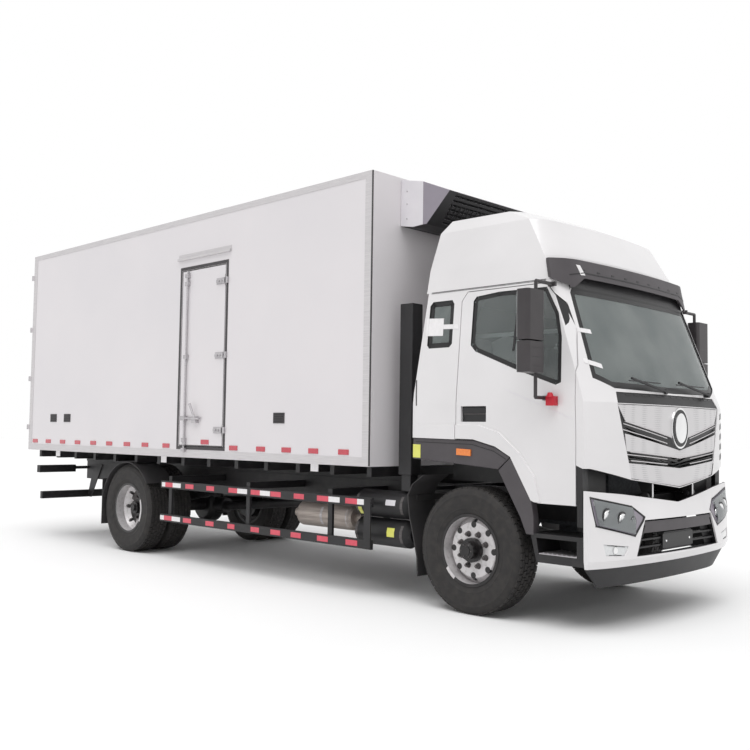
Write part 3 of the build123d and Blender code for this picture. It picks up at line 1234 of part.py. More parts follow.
# Load box: insulated walls, floor and roof, with a side doorway and the rear frame
SIDE_DOORWAY_X = (-3010.0, -2180.0)
SIDE_DOORWAY_Z = (1290.0, 3262.0)
REAR_DOORWAY_HALF = 1235.0
REAR_DOORWAY_Z = (1262.0, 3797.0)
BOX_INNER = (BOX_WALL, HALF_BOX - BOX_WALL, BOX_FLOOR_Z + BOX_FLOOR, BOX_TOP_Z - BOX_WALL)
with BuildPart() as load_box:
    block((BOX_REAR, BOX_FRONT), (-HALF_BOX, HALF_BOX), (BOX_FLOOR_Z, BOX_TOP_Z))
    block(
        (BOX_REAR + BOX_WALL, BOX_FRONT - BOX_WALL),
        (-HALF_BOX + BOX_WALL, HALF_BOX - BOX_WALL),
        (BOX_FLOOR_Z + BOX_FLOOR, BOX_TOP_Z - BOX_WALL),
        mode=Mode.SUBTRACT,
    )
    block(
        (BOX_REAR - 10.0, BOX_REAR + BOX_WALL),
        (-REAR_DOORWAY_HALF, REAR_DOORWAY_HALF),
        REAR_DOORWAY_Z,
        mode=Mode.SUBTRACT,
    )
    block(
        (BOX_FRONT + SIDE_DOORWAY_X[0], BOX_FRONT + SIDE_DOORWAY_X[1]),
        (-HALF_BOX - 10.0, -HALF_BOX + BOX_WALL),
        SIDE_DOORWAY_Z,
        mode=Mode.SUBTRACT,
    )
finish(load_box, "load_box")

# Aluminium edge trims of the box: base rail, top rails and front corner posts
TOP_TRIM = 65.0
DOOR_FRAME_WIDTH = 34.0
DOOR_FRAME_PROUD = 3.0
RAIN_CHANNEL_OVERHANG = 75.0
RAIN_CHANNEL_Z = (3375.0, 3445.0)
RAIN_CHANNEL_LIP = 26.0
SIDE_HINGES_Z = (1474.0, 2273.0, 3074.0)
STRAP_HALF_HEIGHT = 34.0
CORNER_TRIM = 95.0
with BuildPart() as box_trims:
    for side, side_name in SIDES:
        face_y = side * HALF_BOX
        proud_y = side * (HALF_BOX + TRIM_PROUD)
        span = sorted((face_y, proud_y))
        block((BOX_REAR, BOX_FRONT), span, (BOX_FLOOR_Z, BOX_FLOOR_Z + RAIL_HEIGHT))
        block((BOX_REAR, BOX_FRONT), span, (BOX_TOP_Z - TOP_TRIM, BOX_TOP_Z))
        block((BOX_FRONT - CORNER_TRIM, BOX_FRONT), span, (BOX_FLOOR_Z + RAIL_HEIGHT, BOX_TOP_Z - TOP_TRIM))
        block((BOX_REAR, BOX_REAR + CORNER_TRIM), span, (BOX_FLOOR_Z + RAIL_HEIGHT, BOX_TOP_Z - TOP_TRIM))
    door_x = [BOX_FRONT + edge for edge in SIDE_DOORWAY_X]
    frame_y = (-HALF_BOX - DOOR_FRAME_PROUD, -HALF_BOX)
    block(
        (door_x[0] - DOOR_FRAME_WIDTH, door_x[1] + DOOR_FRAME_WIDTH),
        frame_y,
        (SIDE_DOORWAY_Z[0] - DOOR_FRAME_WIDTH, SIDE_DOORWAY_Z[1] + DOOR_FRAME_WIDTH),
    )
    block(door_x, frame_y, SIDE_DOORWAY_Z, mode=Mode.SUBTRACT)
    for hinge_z in SIDE_HINGES_Z:
        block(
            (door_x[1], door_x[1] + DOOR_FRAME_WIDTH + 1.0),
            frame_y,
            (hinge_z - STRAP_HALF_HEIGHT - TOUCH_GAP, hinge_z + STRAP_HALF_HEIGHT + TOUCH_GAP),
            mode=Mode.SUBTRACT,
        )
    channel_x = (door_x[0] - RAIN_CHANNEL_OVERHANG, door_x[1] + RAIN_CHANNEL_OVERHANG)
    block(channel_x, (-HALF_BOX - TRIM_PROUD, -HALF_BOX), RAIN_CHANNEL_Z)
    block(channel_x, (-HALF_BOX - RAIN_CHANNEL_LIP, -HALF_BOX), (RAIN_CHANNEL_Z[0], RAIN_CHANNEL_Z[0] + TRIM_PROUD))
    block(
        channel_x,
        (-HALF_BOX - RAIN_CHANNEL_LIP, -HALF_BOX - RAIN_CHANNEL_LIP + TRIM_PROUD),
        (RAIN_CHANNEL_Z[0], RAIN_CHANNEL_Z[0] + RAIN_CHANNEL_LIP),
    )
finish(box_trims, "box_trims")

# Cross bearers under the box floor, with long runners on the frame rails
BEARER_COUNT = 14
BEARER_WIDTH = 60.0
RUNNER_TOP_Z = RAIL_TOP_Z + 70.0
BEARER_HALF_LENGTH = 1180.0
with BuildPart() as floor_bearers:
    for side, side_name in SIDES:
        block(
            (BOX_REAR + 40.0, BOX_FRONT - 40.0),
            sorted((side * (RAIL_OUTER_Y - RAIL_FLANGE), side * RAIL_OUTER_Y)),
            (RAIL_TOP_Z, RUNNER_TOP_Z),
        )
    for bearer in range(BEARER_COUNT):
        bearer_x = BOX_REAR + 120.0 + bearer * (BOX_LENGTH - 240.0) / (BEARER_COUNT - 1)
        block(
            (bearer_x - BEARER_WIDTH / 2, bearer_x + BEARER_WIDTH / 2),
            (-BEARER_HALF_LENGTH, BEARER_HALF_LENGTH),
            (RUNNER_TOP_Z, BOX_FLOOR_Z),
        )
finish(floor_bearers, "floor_bearers")

# Side door of the box with its straps, lock rod and handle
SIDE_DOOR_GAP = 8.0
HINGE_PIN_RADIUS = 12.0
SIDE_HINGE_X = BOX_FRONT - 2155.0
SIDE_HINGE_Y = -(HALF_BOX + 16.0)
STRAP_THICKNESS = 8.0
STRAP_LENGTH = 195.0
LOCK_ROD_RADIUS = 11.0
LOCK_ROD_STANDOFF = 18.0
SIDE_ROD_X = BOX_FRONT - 2880.0
with BuildPart() as side_door:
    block(
        (BOX_FRONT + SIDE_DOORWAY_X[0] + SIDE_DOOR_GAP, BOX_FRONT + SIDE_DOORWAY_X[1] - SIDE_DOOR_GAP),
        (-HALF_BOX, -HALF_BOX + BOX_WALL - 2.0),
        (SIDE_DOORWAY_Z[0] + SIDE_DOOR_GAP, SIDE_DOORWAY_Z[1] - SIDE_DOOR_GAP),
    )
    for hinge_z in SIDE_HINGES_Z:
        block(
            (SIDE_HINGE_X - STRAP_LENGTH, SIDE_HINGE_X),
            (-HALF_BOX - STRAP_THICKNESS, -HALF_BOX),
            (hinge_z - STRAP_HALF_HEIGHT, hinge_z + STRAP_HALF_HEIGHT),
        )
        bar_z(SIDE_HINGE_X, SIDE_HINGE_Y, HINGE_PIN_RADIUS, hinge_z - STRAP_HALF_HEIGHT, hinge_z + STRAP_HALF_HEIGHT)
        block(
            (SIDE_HINGE_X - HINGE_PIN_RADIUS, SIDE_HINGE_X),
            (SIDE_HINGE_Y, -HALF_BOX),
            (hinge_z - STRAP_HALF_HEIGHT, hinge_z + STRAP_HALF_HEIGHT),
        )
    bar_z(SIDE_ROD_X, -HALF_BOX - LOCK_ROD_STANDOFF, LOCK_ROD_RADIUS, 1225.0, 3245.0)
    for guide_z in (1320.0, 1600.0, 2280.0, 3190.0):
        block(
            (SIDE_ROD_X - 28.0, SIDE_ROD_X + 28.0),
            (-HALF_BOX - LOCK_ROD_STANDOFF - 6.0, -HALF_BOX),
            (guide_z - 22.0, guide_z + 22.0),
        )
    block(
        (SIDE_ROD_X, SIDE_ROD_X + 300.0), (-HALF_BOX - LOCK_ROD_STANDOFF - 6.0, -HALF_BOX - 10.0), (1588.0, 1612.0)
    )
finish(side_door, "side_door")

# Rear doors: two leaves hinged at the corner posts, each with two lock rods
REAR_HINGE_X = BOX_REAR - 14.0
REAR_HINGE_Y = HALF_BOX + 16.0
REAR_HINGES_Z = (1480.0, 2150.0, 2830.0, 3560.0)
REAR_ROD_Y = (170.0, 520.0)
for side, side_name in SIDES:
    with BuildPart() as rear_door:
        block(
            (BOX_REAR, BOX_REAR + BOX_WALL - 2.0),
            sorted((side * 4.0, side * (REAR_DOORWAY_HALF - SIDE_DOOR_GAP))),
            (REAR_DOORWAY_Z[0] + SIDE_DOOR_GAP, REAR_DOORWAY_Z[1] - SIDE_DOOR_GAP),
        )
        for hinge_z in REAR_HINGES_Z:
            span_z = (hinge_z - STRAP_HALF_HEIGHT, hinge_z + STRAP_HALF_HEIGHT)
            block(
                (BOX_REAR - STRAP_THICKNESS, BOX_REAR),
                sorted((side * REAR_HINGE_Y, side * (REAR_HINGE_Y - STRAP_LENGTH - 60.0))),
                span_z,
            )
            bar_z(REAR_HINGE_X, side * REAR_HINGE_Y, HINGE_PIN_RADIUS, *span_z)
        for rod_y in REAR_ROD_Y:
            bar_z(BOX_REAR - LOCK_ROD_STANDOFF, side * rod_y, LOCK_ROD_RADIUS, 1230.0, 3820.0)
            for guide_z in (1330.0, 1560.0, 2280.0, 3000.0, 3720.0):
                block(
                    (BOX_REAR - LOCK_ROD_STANDOFF - 6.0, BOX_REAR),
                    (side * rod_y - 28.0, side * rod_y + 28.0),
                    (guide_z - 22.0, guide_z + 22.0),
                )
            block(
                (BOX_REAR - LOCK_ROD_STANDOFF - 6.0, BOX_REAR - 10.0),
                sorted((side * rod_y, side * (rod_y + 240.0))),
                (1548.0, 1572.0),
            )
    finish(rear_door, f"rear_door_{side_name}")

# Cooling unit on the nose of the box, above the cab
UNIT_PROFILE = (
    (0.0, 3400.0),
    (0.0, 3840.0),
    (265.0, 3785.0),
    (510.0, 3680.0),
    (310.0, 3380.0),
    (160.0, 3372.0),
)
UNIT_HALF_WIDTH = 930.0
UNIT_CORNER = 110.0
UNIT_SLOTS = 7
UNIT_SLOT_HEIGHT = 16.0
UNIT_SLOT_DEPTH = 30.0
UNIT_SLOT_HALF = 720.0
with BuildPart() as cooling_unit:
    side_plate(ahead(UNIT_PROFILE), -UNIT_HALF_WIDTH, UNIT_HALF_WIDTH)
    for side, side_name in SIDES:
        with BuildSketch(Plane.XY.offset(3300.0)) as corner:
            with BuildLine():
                Polyline(
                    (BOX_FRONT + 520.0 - 2.2 * UNIT_CORNER, side * UNIT_HALF_WIDTH),
                    (BOX_FRONT + 520.0, side * (UNIT_HALF_WIDTH - UNIT_CORNER)),
                    (BOX_FRONT + 620.0, side * (UNIT_HALF_WIDTH + 60.0)),
                    close=True,
                )
            make_face()
        extrude(corner.sketch, amount=600.0, mode=Mode.SUBTRACT)
    front_low = UNIT_PROFILE[4]
    front_high = UNIT_PROFILE[3]
    for slot in range(UNIT_SLOTS):
        share = (slot + 1.0) / (UNIT_SLOTS + 1.0)
        slot_x = front_low[0] + share * (front_high[0] - front_low[0])
        slot_z = front_low[1] + share * (front_high[1] - front_low[1])
        louvre = (
            (slot_x + 40.0, slot_z - UNIT_SLOT_HEIGHT / 2),
            (slot_x + 40.0, slot_z + UNIT_SLOT_HEIGHT / 2),
            (slot_x - UNIT_SLOT_DEPTH, slot_z + UNIT_SLOT_HEIGHT),
            (slot_x - UNIT_SLOT_DEPTH, slot_z),
        )
        side_plate(ahead(louvre), -UNIT_SLOT_HALF, UNIT_SLOT_HALF, mode=Mode.SUBTRACT)
finish(cooling_unit, "cooling_unit")

# Red marker lamps along the box, with white tabs' brackets left to the bearers
MARKERS_X = (-334.0, -749.0, -1145.0, -1544.0, -1995.0, -3250.0, -3690.0, -4090.0, -4500.0, -4890.0, -5290.0)
MARKERS_X += (-5690.0, -6090.0, -6470.0)
MARKER_LENGTH = 140.0
MARKER_HEIGHT = 50.0
MARKER_Z = 1290.0
MARKER_PROUD = 7.0
with BuildPart() as marker_lamps:
    for side, side_name in SIDES:
        span = sorted((side * HALF_BOX, side * (HALF_BOX + MARKER_PROUD)))
        for marker_x in MARKERS_X:
            middle = BOX_FRONT + marker_x
            block(
                (middle - MARKER_LENGTH / 2, middle + MARKER_LENGTH / 2),
                span,
                (MARKER_Z - MARKER_HEIGHT / 2, MARKER_Z + MARKER_HEIGHT / 2),
            )
finish(marker_lamps, "marker_lamps")

# Side guards: two rails each side on uprights, with arms out from the frame rail
GUARD_Y = (1195.0, 1225.0)
GUARD_UPRIGHTS_X = (-3300.0, -1867.0, -618.0)
GUARD_X = (-3450.0, -40.0)
GUARD_RAILS_Z = ((800.0, 885.0), (422.0, 507.0))
with BuildPart() as side_guards:
    for side, side_name in SIDES:
        for rail_z in GUARD_RAILS_Z:
            block(
                (BOX_FRONT + GUARD_X[0], BOX_FRONT + GUARD_X[1]),
                sorted((side * GUARD_Y[0], side * GUARD_Y[1])),
                rail_z,
            )
        for upright_x in GUARD_UPRIGHTS_X:
            block(
                (BOX_FRONT + upright_x - 30.0, BOX_FRONT + upright_x + 30.0),
                sorted((side * (GUARD_Y[0] - 30.0), side * GUARD_Y[0])),
                (GUARD_RAILS_Z[1][0], RAIL_TOP_Z - 60.0),
            )
            block(
                (BOX_FRONT + upright_x - 30.0, BOX_FRONT + upright_x + 30.0),
                sorted((side * RAIL_OUTER_Y, side * (GUARD_Y[0] - 30.0))),
                (RAIL_TOP_Z - 130.0, RAIL_TOP_Z - 60.0),
            )
finish(side_guards, "side_guards")

# Tanks and boxes hung on the frame between the axles
SILENCER_RADIUS = 125.0
SILENCER_Y = -800.0
SILENCER_Z = 640.0
SILENCER_CHAMFER = 28.0
EXHAUST_PIPE_RADIUS = 48.0
with BuildPart() as silencer:
    bar_x(SILENCER_Y, SILENCER_Z, SILENCER_RADIUS, BOX_FRONT - 1430.0, BOX_FRONT - 640.0)
    chamfer(edges().filter_by(GeomType.CIRCLE), SILENCER_CHAMFER)
    bar_x(SILENCER_Y, SILENCER_Z, EXHAUST_PIPE_RADIUS, BOX_FRONT - 1520.0, BOX_FRONT - 560.0)
    for band_x in (-1300.0, -780.0):
        block(
            (BOX_FRONT + band_x - 20.0, BOX_FRONT + band_x + 20.0),
            (SILENCER_Y - 20.0, -RAIL_OUTER_Y),
            (SILENCER_Z + SILENCER_RADIUS - 10.0, SILENCER_Z + SILENCER_RADIUS + 40.0),
        )
finish(silencer, "silencer")

AIR_TANK_RADIUS = 125.0
AIR_TANK_DOME = 55.0
with BuildPart() as air_tanks:
    for tank_z in (800.0, 545.0):
        bar_x(-980.0, tank_z + 20.0, AIR_TANK_RADIUS, BOX_FRONT - 420.0, BOX_FRONT + 280.0)
    chamfer(edges().filter_by(GeomType.CIRCLE), AIR_TANK_DOME)
    block((BOX_FRONT - 120.0, BOX_FRONT - 60.0), (-980.0, -RAIL_OUTER_Y), (780.0, 840.0))
    block((BOX_FRONT - 120.0, BOX_FRONT - 60.0), (-985.0, -955.0), (545.0, 840.0))
finish(air_tanks, "air_tanks")

FUEL_TANK_X = (-1800.0, -680.0)
FUEL_TANK_Y = (500.0, 1080.0)
FUEL_TANK_Z = (430.0, 850.0)
with BuildPart() as fuel_tank:
    block((BOX_FRONT + FUEL_TANK_X[0], BOX_FRONT + FUEL_TANK_X[1]), FUEL_TANK_Y, FUEL_TANK_Z)
    fillet(edges().filter_by(Axis.X), 90.0)
    for band_x in (-1500.0, -820.0):
        block(
            (BOX_FRONT + band_x - 30.0, BOX_FRONT + band_x + 30.0),
            (RAIL_OUTER_Y, FUEL_TANK_Y[0] + 120.0),
            (770.0, 830.0),
        )
finish(fuel_tank, "fuel_tank")

BATTERY_X = (-480.0, 60.0)
BATTERY_OUTER_Y = 1040.0
BATTERY_Z = (560.0, 880.0)
BATTERY_LID_LAP = 14.0
BATTERY_LID_DEPTH = 110.0
with BuildPart() as battery_box:
    tray_x = (BOX_FRONT + BATTERY_X[0], BOX_FRONT + BATTERY_X[1])
    block(tray_x, (RAIL_OUTER_Y, BATTERY_OUTER_Y), BATTERY_Z)
    block(
        (tray_x[0] - BATTERY_LID_LAP, tray_x[1] + BATTERY_LID_LAP),
        (RAIL_OUTER_Y + 160.0, BATTERY_OUTER_Y + BATTERY_LID_LAP),
        (BATTERY_Z[1] - BATTERY_LID_DEPTH, BATTERY_Z[1] + BATTERY_LID_LAP),
    )
finish(battery_box, "battery_box")

# Rear mudguards: half-round sheets over the twin wheels, with flaps behind
REAR_GUARD_RADIUS = 555.0
REAR_GUARD_Y = (880.0, 1235.0)
REAR_FLAP_INNER_Y = 620.0
REAR_FLAP_LOW_Z = 290.0
REAR_FLAP_RISE = 330.0
REAR_GUARD_ARM = 45.0
with BuildPart() as rear_mudguards:
    for side, side_name in SIDES:
        with BuildSketch(side_plane(max(side * REAR_GUARD_Y[0], side * REAR_GUARD_Y[1]))) as guard:
            with BuildLine():
                outer_arc = CenterArc((REAR_AXLE_X, AXLE_Z), REAR_GUARD_RADIUS, 35.0, 135.0)
                inner_arc = CenterArc((REAR_AXLE_X, AXLE_Z), REAR_GUARD_RADIUS - GUARD_SHEET, 35.0, 135.0)
                Line(outer_arc @ 0, inner_arc @ 0)
                Line(outer_arc @ 1, inner_arc @ 1)
            make_face()
        extrude(guard.sketch, amount=REAR_GUARD_Y[1] - REAR_GUARD_Y[0])
        flap_x = REAR_AXLE_X - REAR_GUARD_RADIUS
        block(
            (flap_x, flap_x + GUARD_SHEET),
            sorted((side * REAR_FLAP_INNER_Y, side * REAR_GUARD_Y[1])),
            (REAR_FLAP_LOW_Z, AXLE_Z + REAR_FLAP_RISE),
        )
        block(
            (flap_x - REAR_GUARD_ARM, flap_x + GUARD_SHEET / 2),
            sorted((side * RAIL_OUTER_Y, side * (REAR_GUARD_Y[1] - 100.0))),
            (RAIL_BOTTOM_Z + 10.0, RAIL_BOTTOM_Z + 10.0 + REAR_GUARD_ARM),
        )
finish(rear_mudguards, "rear_mudguards")

# Rear underrun bar and the tail lamp bar
UNDERRUN_X = BOX_REAR + 90.0
UNDERRUN_Z = (490.0, 590.0)
UNDERRUN_HALF = 1150.0
with BuildPart() as underrun_bar:
    block((UNDERRUN_X, UNDERRUN_X + 60.0), (-UNDERRUN_HALF, UNDERRUN_HALF), UNDERRUN_Z)
    for side, side_name in SIDES:
        stay = (
            (UNDERRUN_X + 60.0, UNDERRUN_Z[0]),
            (UNDERRUN_X + 60.0, UNDERRUN_Z[1]),
            (UNDERRUN_X + 190.0, RAIL_TOP_Z - 40.0),
            (UNDERRUN_X + 420.0, RAIL_TOP_Z - 40.0),
            (UNDERRUN_X + 130.0, UNDERRUN_Z[0]),
        )
        outer_side_plate(stay, RAIL_OUTER_Y, RAIL_OUTER_Y + 14.0, side)
finish(underrun_bar, "underrun_bar")

TAIL_LAMP_Z = (850.0, 950.0)
with BuildPart() as tail_lamps:
    for side, side_name in SIDES:
        block((BOX_REAR + 30.0, BOX_REAR + 120.0), sorted((side * 640.0, side * 1180.0)), TAIL_LAMP_Z)
        block((BOX_REAR + 60.0, BOX_REAR + 120.0), sorted((side * RAIL_OUTER_Y, side * 640.0)), (890.0, 930.0))
finish(tail_lamps, "tail_lamps")

# Air intake stack behind the cab
STACK_X = (150.0, 300.0)
STACK_Y = (-1080.0, -940.0)
with BuildPart() as intake_stack:
    block(
        (BOX_FRONT + STACK_X[0], BOX_FRONT + STACK_X[1]), STACK_Y, (1100.0, 2640.0)
    )
    block(
        (BOX_FRONT + STACK_X[0] + 20.0, BOX_FRONT + STACK_X[1] - 20.0),
        (STACK_Y[0] + 20.0, -RAIL_OUTER_Y),
        (955.0, 995.0),
    )
    block(
        (BOX_FRONT + STACK_X[0] + 20.0, BOX_FRONT + STACK_X[1] - 20.0),
        (STACK_Y[0] + 20.0, STACK_Y[1] - 20.0),
        (955.0, 1120.0),
    )
finish(intake_stack, "intake_stack")
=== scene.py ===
"""Refrigerated truck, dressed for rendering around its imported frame."""

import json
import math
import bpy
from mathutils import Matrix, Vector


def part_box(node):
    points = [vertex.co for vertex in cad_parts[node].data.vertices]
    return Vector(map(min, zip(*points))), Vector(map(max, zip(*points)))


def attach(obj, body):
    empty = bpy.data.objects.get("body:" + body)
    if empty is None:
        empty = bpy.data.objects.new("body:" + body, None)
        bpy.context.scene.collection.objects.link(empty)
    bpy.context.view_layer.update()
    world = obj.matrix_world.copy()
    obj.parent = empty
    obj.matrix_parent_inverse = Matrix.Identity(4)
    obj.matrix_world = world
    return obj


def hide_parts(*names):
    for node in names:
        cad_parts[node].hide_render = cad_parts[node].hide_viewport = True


bl_info = {
    "name": "Refrigerated Truck",
    "version": (1, 0, 0),
    "blender": (4, 5, 0),
    "location": "View3D > Sidebar > Truck",
    "description": "Dresses the frame of a refrigerated truck with its finished pieces",
    "category": "Object",
}

from collections import namedtuple

import bmesh
import bpy
from mathutils import Matrix, Vector
from mathutils.bvhtree import BVHTree

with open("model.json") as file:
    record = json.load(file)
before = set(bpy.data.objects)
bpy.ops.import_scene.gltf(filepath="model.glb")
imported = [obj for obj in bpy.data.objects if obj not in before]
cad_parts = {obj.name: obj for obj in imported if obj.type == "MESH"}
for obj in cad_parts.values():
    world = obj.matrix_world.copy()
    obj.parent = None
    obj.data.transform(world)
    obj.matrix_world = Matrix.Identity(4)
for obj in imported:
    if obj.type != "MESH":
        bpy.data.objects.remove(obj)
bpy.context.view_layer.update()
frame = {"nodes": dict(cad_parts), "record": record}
BOX_FRONT = 2.18
BOX_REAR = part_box("load_box")[0].x
BOX_SIDE = 1.3
SIDES = ((-1, "right"), (1, "left"))


# Nodes of a material


def linear(code):
    """The linear colour of an sRGB hex value, such as E4E1E1."""
    parts = [int(code[i : i + 2], 16) / 255 for i in (0, 2, 4)]
    return [p / 12.92 if p <= 0.04045 else ((p + 0.055) / 1.055) ** 2.4 for p in parts] + [1.0]


def add(tree, kind, values=(), links=(), into=None, out=0, **settings):
    """Add one node with its settings, its sockets' values, and the links into it and out of it."""
    made = tree.nodes.new(kind)
    for key, value in settings.items():
        setattr(made, key, value)
    for socket, value in dict(values).items():
        made.inputs[socket].default_value = value
    for socket, source in dict(links).items():
        tree.links.new(source, made.inputs[socket])
    if into is not None:
        tree.links.new(made.outputs[out], into)
    return made


Made = namedtuple("Made", "material tree shader place")


def start_material(name, roughness, metallic=0.0, **coat):
    """A material with its tree and shader, and the object's own coordinates in metres."""
    material = bpy.data.materials.new(name)
    material.use_nodes = True
    tree = material.node_tree
    tree.nodes.clear()
    shader = add(tree, "ShaderNodeBsdfPrincipled", {"Roughness": roughness, "Metallic": metallic})
    for key, value in coat.items():
        shader.inputs[key.replace("_", " ").title()].default_value = value
    add(tree, "ShaderNodeOutputMaterial", links={"Surface": shader.outputs[0]})
    place = add(tree, "ShaderNodeTexCoord")
    return Made(material, tree, shader, place.outputs["Object"])


def two_tones(made, share, tones, span=(0.0, 1.0)):
    """Colour that goes from one tone to the other as a pattern's value crosses a span."""
    ends = {"From Min": span[0], "From Max": span[1]}
    crossed = add(made.tree, "ShaderNodeMapRange", ends, {"Value": share})
    colours = {6: linear(tones[0]), 7: linear(tones[1])}
    base = made.shader.inputs["Base Color"]
    add(made.tree, "ShaderNodeMix", colours, {0: crossed.outputs[0]}, base, 2, data_type="RGBA")


def tone_patches(made, size, tones, span=(0.35, 0.75), stretch=(1, 1, 1)):
    """Colour that drifts between two tones over patches about size metres across; gives back the pattern."""
    spread = add(made.tree, "ShaderNodeMapping", {"Scale": stretch}, {"Vector": made.place})
    grain = {"Scale": 1 / size, "Detail": 4.0}
    pattern = add(made.tree, "ShaderNodeTexNoise", grain, {"Vector": spread.outputs[0]}).outputs["Fac"]
    two_tones(made, pattern, tones, span)
    return pattern


def relief(made, apart, high, kind="Noise", **values):
    """A raised pattern whose marks lie some metres apart; gives back its height."""
    settings = {"Scale": 1 / apart} | {key.title(): value for key, value in values.items()}
    pattern = add(made.tree, "ShaderNodeTex" + kind, settings, {"Vector": made.place})
    height = pattern.outputs["Distance" if kind == "Voronoi" else "Fac"]
    add(made.tree, "ShaderNodeBump", {"Distance": high}, {"Height": height}, made.shader.inputs["Normal"])
    return height


def cab_enamel():
    """Two-pack cab enamel: white and glossy, so it mirrors the studio softly, with faint orange peel."""
    made = start_material("cab_enamel", 0.3, coat_weight=0.5, coat_roughness=0.08)
    tone_patches(made, 0.9, ("E3E1E2", "DAD8D9"))
    relief(made, 0.006, 0.00005)
    return made.material


def box_gelcoat():
    """Gel-coated insulated panel: white, duller than the cab, rippled by a millimetre over half a metre."""
    made = start_material("box_gelcoat", 0.38)
    tone_patches(made, 1.6, ("E0DCDE", "D8D5D8"), (0.3, 0.8))
    relief(made, 0.5, 0.001, detail=1.0)
    return made.material


def moulded(name, tones, roughness):
    """Injection-moulded ABS or rubber: a fine leather grain of about 3 mm breaks its highlights."""
    made = start_material(name, roughness)
    tone_patches(made, 0.3, tones)
    relief(made, 0.003, 0.00012, "Voronoi")
    return made.material


def drawn_metal(name, tones, roughness, metallic):
    """Extruded or rolled metal: fine drawing lines run along it and stretch the highlights."""
    made = start_material(name, roughness, metallic)
    lines = tone_patches(made, 0.004, tones, (0.35, 0.65), (0.02, 1, 1))
    add(made.tree, "ShaderNodeBump", {"Distance": 0.00004}, {"Height": lines}, made.shader.inputs["Normal"])
    return made.material


def chassis_enamel(name, tones, roughness):
    """Air-dried black over rolled steel, dusty in patches the size of a hand."""
    made = start_material(name, roughness)
    tone_patches(made, 0.12, tones, (0.45, 0.8))
    relief(made, 0.008, 0.0002)
    return made.material


def tyre_rubber():
    """Carbon-black rubber: dull, brown with road dust in its grain."""
    made = start_material("tyre_rubber", 0.74)
    tone_patches(made, 0.06, ("232121", "312E2C"), (0.4, 0.75))
    relief(made, 0.003, 0.0002)
    return made.material


def rim_paint():
    """Silver wheel enamel over pressed steel, greyer where brake dust settles."""
    made = start_material("rim_paint", 0.36, 0.3)
    tone_patches(made, 0.03, ("D0CDCE", "A9A6A4"), (0.5, 0.85))
    relief(made, 0.002, 0.00006)
    return made.material


def see_through(name, tint, body, share):
    """Glass or clear acrylic: most light passes with a tint, and the rest is a sharp reflection."""
    made = start_material(name, 0.03)
    haze = tone_patches(made, 0.4, body)
    clear = add(made.tree, "ShaderNodeBsdfTransparent", {"Color": linear(tint)})
    gloss = add(made.tree, "ShaderNodeFresnel", {"IOR": 1.5})
    film = add(made.tree, "ShaderNodeMath", {1: 0.05, 2: share}, {0: haze}, operation="MULTIPLY_ADD")
    both = add(made.tree, "ShaderNodeMath", links={0: gloss.outputs[0], 1: film.outputs[0]}, operation="ADD")
    surface = next(node for node in made.tree.nodes if node.type == "OUTPUT_MATERIAL").inputs[0]
    parts = {0: both.outputs[0], 1: clear.outputs[0], 2: made.shader.outputs[0]}
    add(made.tree, "ShaderNodeMixShader", links=parts, into=surface)
    return made.material


def lens_plastic(name, tones):
    """Moulded acrylic lens: prism ribs 6 mm apart under a glossy face, drawn coarser so that they show."""
    made = start_material(name, 0.2, coat_weight=0.7)
    tone_patches(made, 0.02, tones)
    relief(made, 0.04, 0.0005, "Wave", distortion=0.0)
    return made.material


def reflective_tape(name, tones):
    """Retro-reflective tape: honeycomb cells 4 mm across under a clear film."""
    made = start_material(name, 0.35, coat_weight=0.4)
    tone_patches(made, 0.05, tones)
    relief(made, 0.004, 0.0002, "Voronoi", randomness=0.0)
    return made.material


def cast_iron():
    """Grey iron as it leaves the foundry, pitted by sand, with an oily film."""
    made = start_material("cast_iron", 0.6, 0.4)
    grit = tone_patches(made, 0.02, ("3E4044", "55575B"))
    add(made.tree, "ShaderNodeBump", {"Distance": 0.0008}, {"Height": grit}, made.shader.inputs["Normal"])
    return made.material


def seat_cloth():
    """Woven seat cloth: threads 4 mm apart, soft at its edges."""
    made = start_material("seat_cloth", 0.9, sheen_weight=0.3)
    weave = relief(made, 0.004, 0.0004, "Checker")
    two_tones(made, weave, ("41424A", "565860"))
    return made.material


def perforated_steel():
    """Silver punched sheet: dark round holes 16 mm apart in rows."""
    made = start_material("perforated_steel", 0.32, 0.35)
    cells = relief(made, 0.016, 0.001, "Voronoi", randomness=0.0)
    two_tones(made, cells, ("CFCDCE", "A4A3A5"), (0.3, 0.22))
    return made.material


def silvered(name, tones, roughness):
    """Vacuum-silvered plastic or glass: it mirrors what is round it."""
    made = start_material(name, roughness, 1.0)
    tone_patches(made, 0.2, tones)
    return made.material


